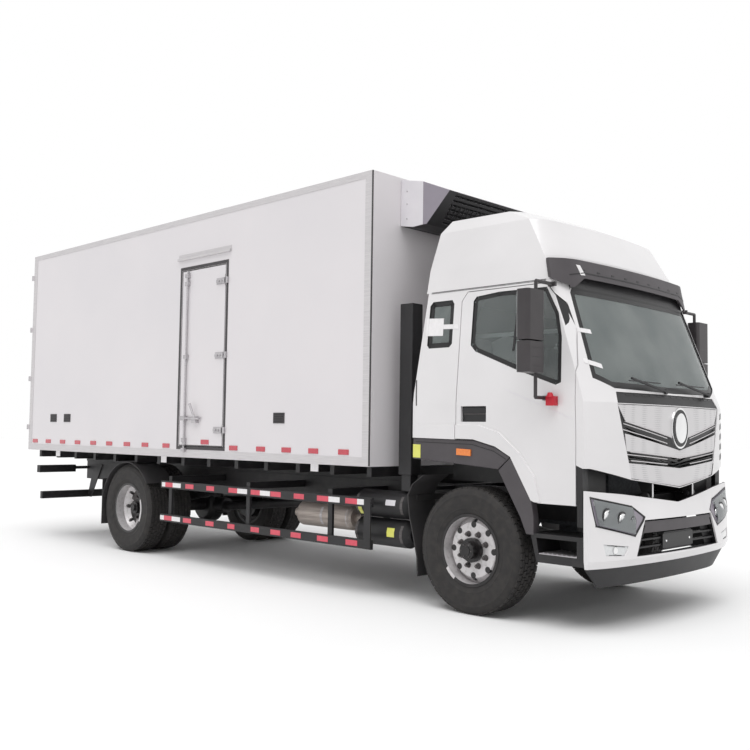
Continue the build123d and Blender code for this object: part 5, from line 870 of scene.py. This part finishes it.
class TRUCK_OT_cab(bpy.types.Operator):
    """Make the cab's shell, doors, glass, trims and roof pieces"""

    bl_idname = "truck.cab"
    bl_label = "Cab"

    def execute(self, context):
        settings = context.scene.truck_cab
        edge, width = settings.panel_edge, settings.frame_width

        def reveals(middle, normal):
            """The inner faces of the screen's opening and of the quarter windows'."""
            x, y, z = middle
            screen = x > 3.9 and 1.82 < z < 2.66 and abs(y) < 1.034
            quarter = 2.69 < x < 2.99 and 2.2 < z < 2.63 and abs(normal.y) < 0.5
            return screen and abs(normal.x) < 0.6 and normal.y * y < 0.01 or quarter

        def under(middle, normal):
            """What lies under the cab, and the floor's underside."""
            low = middle.z < 1.215 and abs(middle.y) < 1.125
            return low and min(normal.x - 0.4, middle.x - 4.3) < 0 or middle.z < 1.32 and normal.z < -0.5

        def opening(middle, normal):
            """The faces round a door's window."""
            return 3.17 < middle.x < 4.10 and 1.85 < middle.z < 2.66 and abs(normal.y) < 0.5

        seam = within((4.229, -1.3, 0.4), (4.31, 1.3, 1.2285))
        dark = [("window_rubber", seam), ("window_rubber", reveals), ("frame_paint", under)]
        dress("cab_shell", edge, 12, zones=dark, joined=False)
        recess = within((3.117, -1.3, 1.575), (3.379, 1.3, 1.703))
        dark = [("window_rubber", recess), ("window_rubber", opening)]
        for side, side_name in SIDES:
            door, glass = "cab_door_" + side_name, "door_glass_" + side_name
            dress(door, edge, 12, zones=dark, joined=False)
            dress(glass, 0.0)
            work = bmesh.new()
            rubber = ahead(DOOR_WINDOW)
            strip(work, skin_of(glass), side_name, rubber, 2 * width, 0.003, closed=True, rows=11)
            trees = skin_of(door, glass)
            for path, wide, thick, finish in (
                (((3.565, 1.838), (4.20, 1.60)), 0.006, 0.0015, 3),
                (((3.62, 2.16), (3.655, 2.60)), 0.022, 0.004, 0),
                (((3.135, 1.640), (3.365, 1.640)), 0.008, 0.004, 2),
            ):
                strip(work, trees, side_name, path, wide, thick, finish)
            if side < 0:
                tag = ((3.524, 2.676), (3.77, 2.664), (3.77, 2.634), (3.524, 2.646))
                laid(work, trees, side_name, tag, 0.003, 1)
            finishes = ["window_rubber", "tape_white", "nut_steel", "unit_sheet"]
            settle(work, door + "_rubber", finishes, door)
        self.windows(width)
        self.roof_and_trims()
        return {"FINISHED"}

    def windows(self, width):
        """The screen and the quarter windows with their rubbers and the roof's seam, and dark sheets in the
        wheel arches as painted shade.
        """
        dress("windscreen", 0.0)
        dress("quarter_windows", 0.0)
        work = bmesh.new()
        trees = skin_of("cab_shell", "quarter_windows")
        screen, pane = skin_of("cab_shell", "windscreen"), skin_of("quarter_windows")
        roof = skin_of("cab_shell", "roof_fairing")
        strip(work, skin_of("windscreen"), "front", SCREEN, 3 * width, 0.003, closed=True, rows=13)
        header = ((-0.94, 2.745), (0.94, 2.745), (0.955, 2.625), (-0.955, 2.625))
        laid(work, roof + skin_of("windscreen"), "front", header, 0.003, step=0.02)
        for tag in (
            ((-1.03, 2.315), (-0.87, 2.305), (-0.87, 2.270), (-1.03, 2.280)),
            ((-1.06, 2.070), (-0.88, 2.030), (-0.88, 1.992), (-1.06, 2.032)),
        ):
            laid(work, screen, "front", tag, 0.004, 1, step=0.02)
        for side, side_name in SIDES:
            rubber = ahead(QUARTER_WINDOW)
            strip(work, pane, side_name, rubber, 2.6 * width, 0.003, closed=True, rows=13)
        for tag, thick in (
            (((2.636, 2.425), (3.045, 2.405), (3.045, 2.365), (2.636, 2.385)), 0.004),
            (((2.682, 2.478), (2.866, 2.468), (2.866, 2.315), (2.682, 2.323)), 0.005),
        ):
            laid(work, trees, "right", tag, thick, 1)
        for side, side_name in SIDES:
            strip(work, roof, side_name, ((2.62, 2.700), (3.90, 2.700)), 0.014, 0.002)
            strip(work, trees, side_name, ((2.62, 1.72), (2.60, 2.02)), 0.012, 0.002, 2)
        settle(work, "cab_rubber", ["window_rubber", "tape_white", "seal_rubber"], "cab")
        # Painted shade: dark upright sheets inboard of the front tyres stand in for the shade inside the
        # wheel arches, so that no white shows between arch and tyre.
        work = bmesh.new()
        for side in (-1, 1):
            bar(work, (2.66, side * 0.700 - 0.004, 1.058), (3.82, side * 0.700 + 0.004, 1.300))
        settle(work, "arch_shade_sheets", ["frame_paint"], "cab")

    def roof_and_trims(self):
        """The roof fairing, the visor, the arch trims, the cowl and the wipers."""
        dress("roof_fairing", 0.045, 14)
        dress("sun_visor", 0.004, 30)
        dress("arch_trims", 0.008, 30)
        dress("cowl_panel", 0.003)
        work = bmesh.new()
        visor, trims, cowl = skin_of("sun_visor"), skin_of("arch_trims"), smooth_skin("cowl_panel")
        for index in range(9):
            y = -0.80 + index * 0.2
            laid(work, visor, "front", rectangle((y - 0.02, 2.80), (y + 0.02, 2.788)), 0.002)
        crease = ((-0.96, 2.742), (-0.80, 2.772), (0.80, 2.772), (0.96, 2.742))
        strip(work, visor, "front", crease, 0.008, 0.003)
        tag = ((-0.885, 2.83), (-0.84, 2.83), (-0.735, 2.675), (-0.80, 2.668))
        laid(work, visor, "front", tag, 0.003, 1)
        for side, side_name in SIDES:
            if side < 0:
                tag = ((2.587, 1.378), (2.672, 1.376), (2.672, 1.262), (2.587, 1.264))
                laid(work, trims, side_name, tag, 0.003, 2)
            lamp = ((3.080, 1.352), (3.230, 1.346), (3.230, 1.292), (3.080, 1.298))
            laid(work, trims, side_name, lamp, 0.012, 3)
            lip = ((2.62, 1.40), (3.24, 1.388), (3.46, 1.338), (3.58, 1.278))
            strip(work, trims, side_name, lip, 0.006, 0.002)
        for index in range(14):
            y = -0.72 + index * 0.11
            laid(work, cowl, "front", rectangle((y, 1.802), (y + 0.07, 1.792)), 0.002)
        finishes = ["window_rubber", "tape_white", "label_yellow", "amber_lens"]
        settle(work, "trim_fittings", finishes, "cab")

        dress("wipers", 0.003)
        work = bmesh.new()
        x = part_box("wipers")[1].x
        for pivot in (-0.14, 0.64):
            bar(work, (x - 0.012, pivot - 0.60, 1.900), (x - 0.002, pivot - 0.10, 1.908))
            rod(work, (x - 0.02, pivot, 1.84), (x - 0.001, pivot, 1.84), 0.02, 0, 20, 0.014)
        settle(work, "wiper_blades", ["window_rubber"], "cab")


class TruckFaceSettings(bpy.types.PropertyGroup):
    sheet_thick: bpy.props.FloatProperty(
        name="Sheet", description="How far the grille's sheets stand out", default=0.006, unit="LENGTH"
    )


class TRUCK_OT_face(bpy.types.Operator):
    """Make the grille, the blank badge, the bumper and the lamps"""

    bl_idname = "truck.face"
    bl_label = "Grille and lamps"

    def execute(self, context):
        self.grille(context.scene.truck_face.sheet_thick)
        self.bumper_and_lamps()
        return {"FINISHED"}

    def grille(self, thick):
        """The V-shaped sheets, the slats between them and the blank badge."""
        dress("grille_panel", 0.003, finish="black_plastic")
        skin = smooth_skin("grille_panel")
        work = bmesh.new()
        for top, outer, lower, foot in CHEVRONS:
            for side in (-1, 1):
                rim = ((0, foot), (side * lower[0], lower[1]))
                corners = ((0, top), (side * outer[0], outer[1]), rim[1], rim[0])
                laid(work, skin, "front", corners, thick, 0, step=0.03)
                strip(work, skin, "front", rim, 0.010, thick + 0.003, 1)
        for height, outer in SLAT_LINES:
            for side in (-1, 1):
                start = (side * 0.2, height + (outer[1] - height) * 0.25)
                strip(work, skin, "front", (start, (side * outer[0], outer[1])), 0.007, 0.003, 1)
        edge = ((-0.870, 1.722), (0.870, 1.722), (0.700, 1.148), (0.0, 1.070), (-0.700, 1.148))
        strip(work, skin, "front", edge, 0.010, 0.003, 2, closed=True)
        centre = landed(skin, "front", (0, 1.545), 0.0)
        upright = Matrix(((0, 0, 1, 0), (1, 0, 0, 0), (0, 1, 0, 0), (0, 0, 0, 1)))
        for reach, half_y, half_z, finish in BADGE_RINGS:
            size = Matrix.Diagonal((half_y, half_z, 1.0)).to_4x4()
            place = Matrix.Translation(centre + Vector((reach / 2 - 0.01, 0, 0)))
            made = bmesh.ops.create_cone(
                work,
                cap_ends=True,
                segments=64,
                radius1=1.0,
                radius2=0.97,
                depth=reach + 0.02,
                matrix=place @ upright @ size,
            )
            paint(made["verts"], finish)
        shell = skin_of("cab_shell")
        for index in range(5):
            z = 1.27 + index * 0.09
            corners = ((0.955, z + 0.05), (1.045, z + 0.062), (1.040, z + 0.012), (0.945, z))
            laid(work, shell, "front", corners, 0.002, 2)
        finishes = ["grille_mesh", "aluminium", "window_rubber", "reflector"]
        settle(work, "grille_sheets", finishes, "cab")

    def bumper_and_lamps(self):
        """The bumper, the lamps with their reflectors and lenses, and the bare plate."""
        crest = lambda middle, normal: normal.z > 0.6 and middle.z > 0.95
        dress("bumper", 0.010, 20, zones=[("dark_trim", crest)])
        dress("bumper_grille", 0.002, finish="black_plastic")
        dress("front_valance", 0.006, finish="black_plastic")
        dress("headlamps", 0.003, finish="unit_corner")
        dress("fog_lamps", 0.003)
        work = bmesh.new()
        lamps, fogs = skin_of("headlamps"), skin_of("fog_lamps")
        bumper = skin_of("bumper", "headlamps", "fog_lamps")

        def lens(middle, start, reach, *looks):
            """A round piece that stands out of a lamp's face."""
            rod(work, middle - Vector((start, 0, 0)), middle + Vector((reach, 0, 0)), *looks)

        for side in (-1, 1):
            bay = [(side * y, z) for y, z in LAMP_EDGE]
            strip(work, bumper, "front", bay, 0.012, 0.003, closed=True)
            brow = ((1.115, 0.985), (0.705, 0.912), (0.705, 0.890), (1.113, 0.955))
            laid(work, lamps, "front", [(side * y, z) for y, z in brow], 0.006, 1, step=0.03)
            for y, z, radius in ((1.000, 0.868, 0.056), (0.850, 0.838, 0.056), (0.725, 0.822, 0.036)):
                middle = landed(lamps, "front", (side * y, z), 0.0)
                lens(middle, 0.004, 0.005, radius * 1.2, 0, 32)
                lens(middle, 0.0, 0.008, radius, 2, 32, radius * 0.9)
                lens(middle, 0.0, 0.011, radius * 0.62, 1, 32, radius * 0.5)
            cover = ((1.125, 1.000), (0.700, 0.926), (0.716, 0.728), (1.105, 0.812))
            cover = [(side * y, z) for y, z in cover]
            laid(work, lamps, "front", cover, 0.003, 3, lift=0.014, step=0.04)
            fog = [(side * y, z) for y, z in FOG_EDGE]
            strip(work, fogs, "front", fog, 0.012, 0.003, closed=True, rows=4)
            lens(landed(fogs, "front", (side * 0.94, 0.618), 0.0), 0.0, 0.006, 0.03, 2, 28, 0.022)
        brow = ((-0.585, 0.815), (0.585, 0.815), (0.640, 0.728), (-0.640, 0.728))
        laid(work, smooth_skin("bumper_grille"), "front", brow, 0.003, 4)
        bar(work, (PLATE_X - 0.01, -0.26, 0.585), (PLATE_X + 0.004, 0.26, 0.700))
        for y in (-0.2, 0.2):
            lens(Vector((PLATE_X, y, 0.641)), 0.0, 0.006, 0.012, 2, 12, 0.009)
        finishes = ["window_rubber", "lamp_glass", "reflector", "clear_lens", "dark_trim"]
        settle(work, "lamp_fittings", finishes, "chassis")


class TruckMirrorSettings(bpy.types.PropertyGroup):
    glass_margin: bpy.props.FloatProperty(
        name="Glass margin", description="Width of the shell round each glass", default=0.018, unit="LENGTH"
    )


class TRUCK_OT_mirrors(bpy.types.Operator):
    """Make the door mirrors with their glasses and the cover at the right-hand foot"""

    bl_idname = "truck.mirrors"
    bl_label = "Mirrors"

    def execute(self, context):
        margin = context.scene.truck_mirror.glass_margin
        rear, front = BOX_FRONT + 1.735, BOX_FRONT + 1.853
        for side, side_name in SIDES:
            dress("mirror_" + side_name, 0.016, 30)
            work = bmesh.new()
            inner, outer = sorted((side * (1.29 + margin), side * (1.51 - margin)))
            for low, high in ((1.945, 2.180), (2.190, 2.575)):
                bar(work, (rear - 0.0005, inner, low + margin), (rear + 0.02, outer, high - margin))
            if side < 0:
                bar(work, (4.000, -1.232, 1.700), (4.072, -1.172, 1.772), 1)
                rod(work, (4.036, -1.225, 1.765), (4.036, -1.225, 1.80), 0.03, 1, 20, 0.018)
            for z in (1.99, 2.06, 2.13):
                bar(work, (front, inner + 0.03, z), (front + 0.0025, outer - 0.03, z + 0.004), 2)
            finishes, body = ["mirror_glass", "red_cover", "window_rubber"], "cab_door_" + side_name
            settle(work, "mirror_glass_" + side_name, finishes, body, bevel=0.004)
        return {"FINISHED"}


# Inside the cab


class TruckInsideSettings(bpy.types.PropertyGroup):
    cushion_edge: bpy.props.FloatProperty(
        name="Cushion edge", description="How far the cushions are rounded", default=0.04, unit="LENGTH"
    )


class TRUCK_OT_inside(bpy.types.Operator):
    """Make the seats, the dashboard and the steering wheel"""

    bl_idname = "truck.inside"
    bl_label = "Inside"

    def execute(self, context):
        seats = dress("seats", context.scene.truck_inside.cushion_edge, 20)
        dress("dashboard", 0.02, finish="dark_trim")
        dress("steering_wheel", 0.004, 50)
        work = bmesh.new()
        for y in (-0.7, -0.2, 0.2, 0.56, 0.92):
            bar(work, (4.04, y - 0.07, 1.66), (4.075, y + 0.07, 1.735))
        settle(work, "dash_vents", ["window_rubber"], "cab", bevel=0.006)
        return {"FINISHED"}


# The chassis and its fittings


UPPER_TAPE = (
    # start, end, white
    (-1.248, -1.179, True),
    (-1.179, -1.029, False),
    (-1.029, -0.869, True),
    (-0.777, -0.622, False),
    (-0.381, -0.240, False),
    (0.018, 0.169, False),
    (0.169, 0.334, True),
    (0.396, 0.546, False),
    (0.546, 0.706, True),
    (0.714, 0.875, False),
    (1.073, 1.222, False),
    (1.411, 1.572, False),
    (1.572, 1.725, True),
    (1.801, 1.957, False),
    (1.957, 2.135, True),
)
LOWER_TAPE = (
    # start, end, white
    (-1.267, -1.190, True),
    (-1.190, -1.032, False),
    (-1.032, -0.866, True),
    (-0.808, -0.653, False),
    (-0.381, -0.234, False),
    (0.013, 0.134, False),
    (0.408, 0.542, False),
    (0.726, 0.876, False),
    (1.038, 1.187, False),
    (1.421, 1.572, False),
    (1.813, 1.965, False),
)


STEP_FLOOR_Z = 0.560
STEP_RIBS = 8
KEPT_FORM = (
    "battery_box",
    "engine",
    "front_axle_beam",
    "fuel_tank",
    "ladder_frame",
    "leaf_springs",
    "propshaft",
    "rear_axle",
    "steering_knuckle_left",
    "steering_knuckle_right",
    "underrun_bar",
)


class TruckChassisSettings(bpy.types.PropertyGroup):
    edge_width: bpy.props.FloatProperty(
        name="Edge width", description="How far rolled edges are rounded", default=0.003, unit="LENGTH"
    )
    tape_height: bpy.props.FloatProperty(
        name="Tape height", description="Height of the tape on the side guards", default=0.05, unit="LENGTH"
    )


class TRUCK_OT_chassis(bpy.types.Operator):
    """Make the guards with their tape, the tanks and the pieces under the box"""

    bl_idname = "truck.chassis"
    bl_label = "Chassis"

    def execute(self, context):
        edge, tall = context.scene.truck_chassis.edge_width, context.scene.truck_chassis.tape_height
        dress("side_guards", edge, finish="black_plastic")
        work = bmesh.new()
        trees = skin_of("side_guards")
        pieces = [(0.8425, *piece) for piece in UPPER_TAPE] + [(0.465, *piece) for piece in LOWER_TAPE]
        for side, side_name in SIDES:
            for middle_z, start, end, white in pieces:
                spot = landed(trees, side_name, ((start + end) / 2, middle_z), 0.0)
                if spot is None or abs(spot.y) < 1.15:
                    continue
                face = sorted((spot.y - side * 0.004, spot.y + side * 0.0012))
                low, high = (start, face[0], middle_z - tall / 2), (end, face[1], middle_z + tall / 2)
                bar(work, low, high, 1 if white else 0)
        bar(work, (2.05, -1.232, 0.43), (2.135, -1.222, 0.87), 2)
        settle(work, "guard_tape", ["tape_red", "tape_white", "black_plastic"], "chassis")

        dress("silencer", 0.004, finish="silencer_steel")
        dress("air_tanks", 0.006)
        work = bmesh.new()
        tank = skin_of("air_tanks")
        for first, last, finish in (
            ((1.80, 0.80), (1.89, 0.72), 0),
            ((2.22, 0.62), (2.31, 0.54), 0),
            ((2.20, 0.87), (2.32, 0.82), 1),
        ):
            laid(work, tank, "right", rectangle(first, last), 0.002, finish, lift=0.002)
        for x in (1.83, 2.39):
            for low, high in ((0.46, 0.68), (0.72, 0.94)):
                strip(work, tank, "right", ((x, low), (x, high)), 0.03, 0.004, 2)
        muffler = skin_of("silencer")
        low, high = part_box("silencer")
        middle = (low.z + high.z) / 2
        for share in (0.12, 0.5, 0.88):
            x = low.x + (high.x - low.x) * share
            strip(work, muffler, "right", ((x, middle - 0.09), (x, middle + 0.09)), 0.03, 0.004, 3)
        finishes = ["label_yellow", "unit_sheet", "nut_steel", "bright_steel"]
        settle(work, "tank_labels", finishes, "chassis")

        dress("tail_lamps", 0.004, zones=[("black_plastic", lambda middle, normal: normal.x > -0.5)])
        dress("rear_mudguards", 0.006)
        dress("front_mudguards", 0.006)
        arch_piece = lambda middle, normal: abs(middle.y) > 1.09 and middle.x < 3.9 and middle.z > 0.7
        tread = lambda middle, normal: normal.z > 0.9 and middle.z < 0.62
        zones = [("dark_trim", arch_piece), ("bright_steel", tread)]
        dress("cab_steps", 0.006, finish="frame_paint", zones=zones)
        dress("floor_bearers", edge, finish="frame_paint")
        work = bmesh.new()
        z = STEP_FLOOR_Z
        for side in (-1, 1):
            low, high = sorted((side * 0.86, side * 1.158))
            bar(work, (3.895, low, z), (4.255, high, z + 0.006))
            for index in range(STEP_RIBS):
                x = 3.915 + index * 0.042
                bar(work, (x, low + 0.02, z), (x + 0.012, high - 0.02, z + 0.011))
        settle(work, "step_treads", ["bright_steel"], "chassis")
        dress("intake_stack", 0.006)
        for node in KEPT_FORM:
            dress(node, edge)
        return {"FINISHED"}


# Floor, light and camera


class TruckStageSettings(bpy.types.PropertyGroup):
    floor_reach: bpy.props.FloatProperty(
        name="Floor reach", description="Half the width of the floor", default=90.0, unit="LENGTH"
    )
    sun_strength: bpy.props.FloatProperty(
        name="Sun", description="Strength of the large soft light from above", default=1.8
    )
    sky_strength: bpy.props.FloatProperty(
        name="Sky", description="Strength of the light from all round", default=0.62
    )


CAMERA_PLACE = (8.0795, -7.2626, 1.4856)
CAMERA_TURN = 0.77533
CAMERA_RISE = 0.05999
CAMERA_ROLL = 0.01404
CAMERA_LENS = 44.93
SUN_FROM = (1.8, -3.0, 9.0)


class TRUCK_OT_stage(bpy.types.Operator):
    """Set the floor, the soft light and the camera"""

    bl_idname = "truck.stage"
    bl_label = "Stage"

    def execute(self, context):
        settings = context.scene.truck_stage
        work = bmesh.new()
        bmesh.ops.create_grid(work, x_segments=1, y_segments=1, size=settings.floor_reach)
        mesh = bpy.data.meshes.new("floor")
        work.to_mesh(mesh)
        work.free()
        floor = bpy.data.objects.new("floor", mesh)
        context.scene.collection.objects.link(floor)
        pale = start_material("pale_floor", 0.9)
        tone_patches(pale, 3.0, ("F6F6F6", "F4F4F4"))
        mesh.materials.append(pale.material)

        world = bpy.data.worlds.new("studio")
        world.use_nodes = True
        context.scene.world = world
        tree = world.node_tree
        tree.nodes.clear()
        rays = add(tree, "ShaderNodeLightPath").outputs
        seen = rays["Is Camera Ray"]
        for ray in ("Is Glossy Ray", "Is Transmission Ray"):
            links = {0: seen, 1: rays[ray]}
            seen = add(tree, "ShaderNodeMath", links=links, operation="MAXIMUM").outputs[0]
        soft, white = [
            add(tree, "ShaderNodeBackground", {"Color": linear("FFFFFF"), "Strength": strength}).outputs[0]
            for strength in (settings.sky_strength, 1.0)
        ]
        both = add(tree, "ShaderNodeMixShader", links={0: seen, 1: soft, 2: white})
        add(tree, "ShaderNodeOutputWorld", links={"Surface": both.outputs[0]})

        sun = bpy.data.lights.new("soft_sun", "SUN")
        sun.energy = settings.sun_strength
        sun.angle = 0.9
        rig = bpy.data.objects.new("soft_sun", sun)
        rig.rotation_euler = Vector(SUN_FROM).to_track_quat("Z", "Y").to_euler()
        context.scene.collection.objects.link(rig)

        lens = bpy.data.cameras.new("camera")
        lens.lens = CAMERA_LENS
        lens.sensor_width = 36.0
        lens.clip_start, lens.clip_end = 0.05, 400.0
        camera = bpy.data.objects.new("camera", lens)
        level = math.cos(CAMERA_RISE)
        ahead_x, ahead_y = -math.sin(CAMERA_TURN) * level, math.cos(CAMERA_TURN) * level
        forward = Vector((ahead_x, ahead_y, math.sin(CAMERA_RISE)))
        right = forward.cross(Vector((0, 0, 1))).normalized()
        up = right.cross(forward)
        lean, rise = math.cos(CAMERA_ROLL), math.sin(CAMERA_ROLL)
        right, up = right * lean + up * rise, up * lean - right * rise
        facing = Matrix((right, up, -forward)).transposed().to_4x4()
        camera.matrix_world = Matrix.Translation(CAMERA_PLACE) @ facing
        context.scene.collection.objects.link(camera)
        context.scene.camera = camera
        context.scene.view_settings.view_transform = "Standard"
        return {"FINISHED"}


class TRUCK_PT_panel(bpy.types.Panel):
    """Lists the truck's groups and their settings in the sidebar"""

    bl_idname = "TRUCK_PT_panel"
    bl_label = "Refrigerated truck"
    bl_space_type = "VIEW_3D"
    bl_region_type = "UI"
    bl_category = "Truck"

    def draw(self, context):
        for operator in OPERATORS:
            self.layout.operator(operator.bl_idname)
        for name, group in GROUPS.items():
            box = self.layout.box()
            box.label(text=name.replace("_", " ").capitalize())
            for key in group.__annotations__:
                box.prop(getattr(context.scene, name), key)


OPERATORS = (
    TRUCK_OT_load_box,
    TRUCK_OT_load_doors,
    TRUCK_OT_cooling_unit,
    TRUCK_OT_wheels,
    TRUCK_OT_cab,
    TRUCK_OT_face,
    TRUCK_OT_mirrors,
    TRUCK_OT_inside,
    TRUCK_OT_chassis,
    TRUCK_OT_stage,
)
GROUPS = {
    "truck_box": TruckBoxSettings,
    "truck_door": TruckDoorSettings,
    "truck_unit": TruckUnitSettings,
    "truck_wheel": TruckWheelSettings,
    "truck_cab": TruckCabSettings,
    "truck_face": TruckFaceSettings,
    "truck_mirror": TruckMirrorSettings,
    "truck_inside": TruckInsideSettings,
    "truck_chassis": TruckChassisSettings,
    "truck_stage": TruckStageSettings,
}


def register():
    for kind in list(GROUPS.values()) + list(OPERATORS) + [TRUCK_PT_panel]:
        bpy.utils.register_class(kind)
    for name, group in GROUPS.items():
        setattr(bpy.types.Scene, name, bpy.props.PointerProperty(type=group))


def unregister():
    for name in GROUPS:
        delattr(bpy.types.Scene, name)
    for kind in [TRUCK_PT_panel] + list(reversed(OPERATORS)) + list(GROUPS.values()):
        bpy.utils.unregister_class(kind)


def main():
    """Register the add-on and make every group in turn."""
    register()
    for operator in OPERATORS:
        group, name = operator.bl_idname.split(".")
        getattr(getattr(bpy.ops, group), name)()


if __name__ == "__main__":
    main()
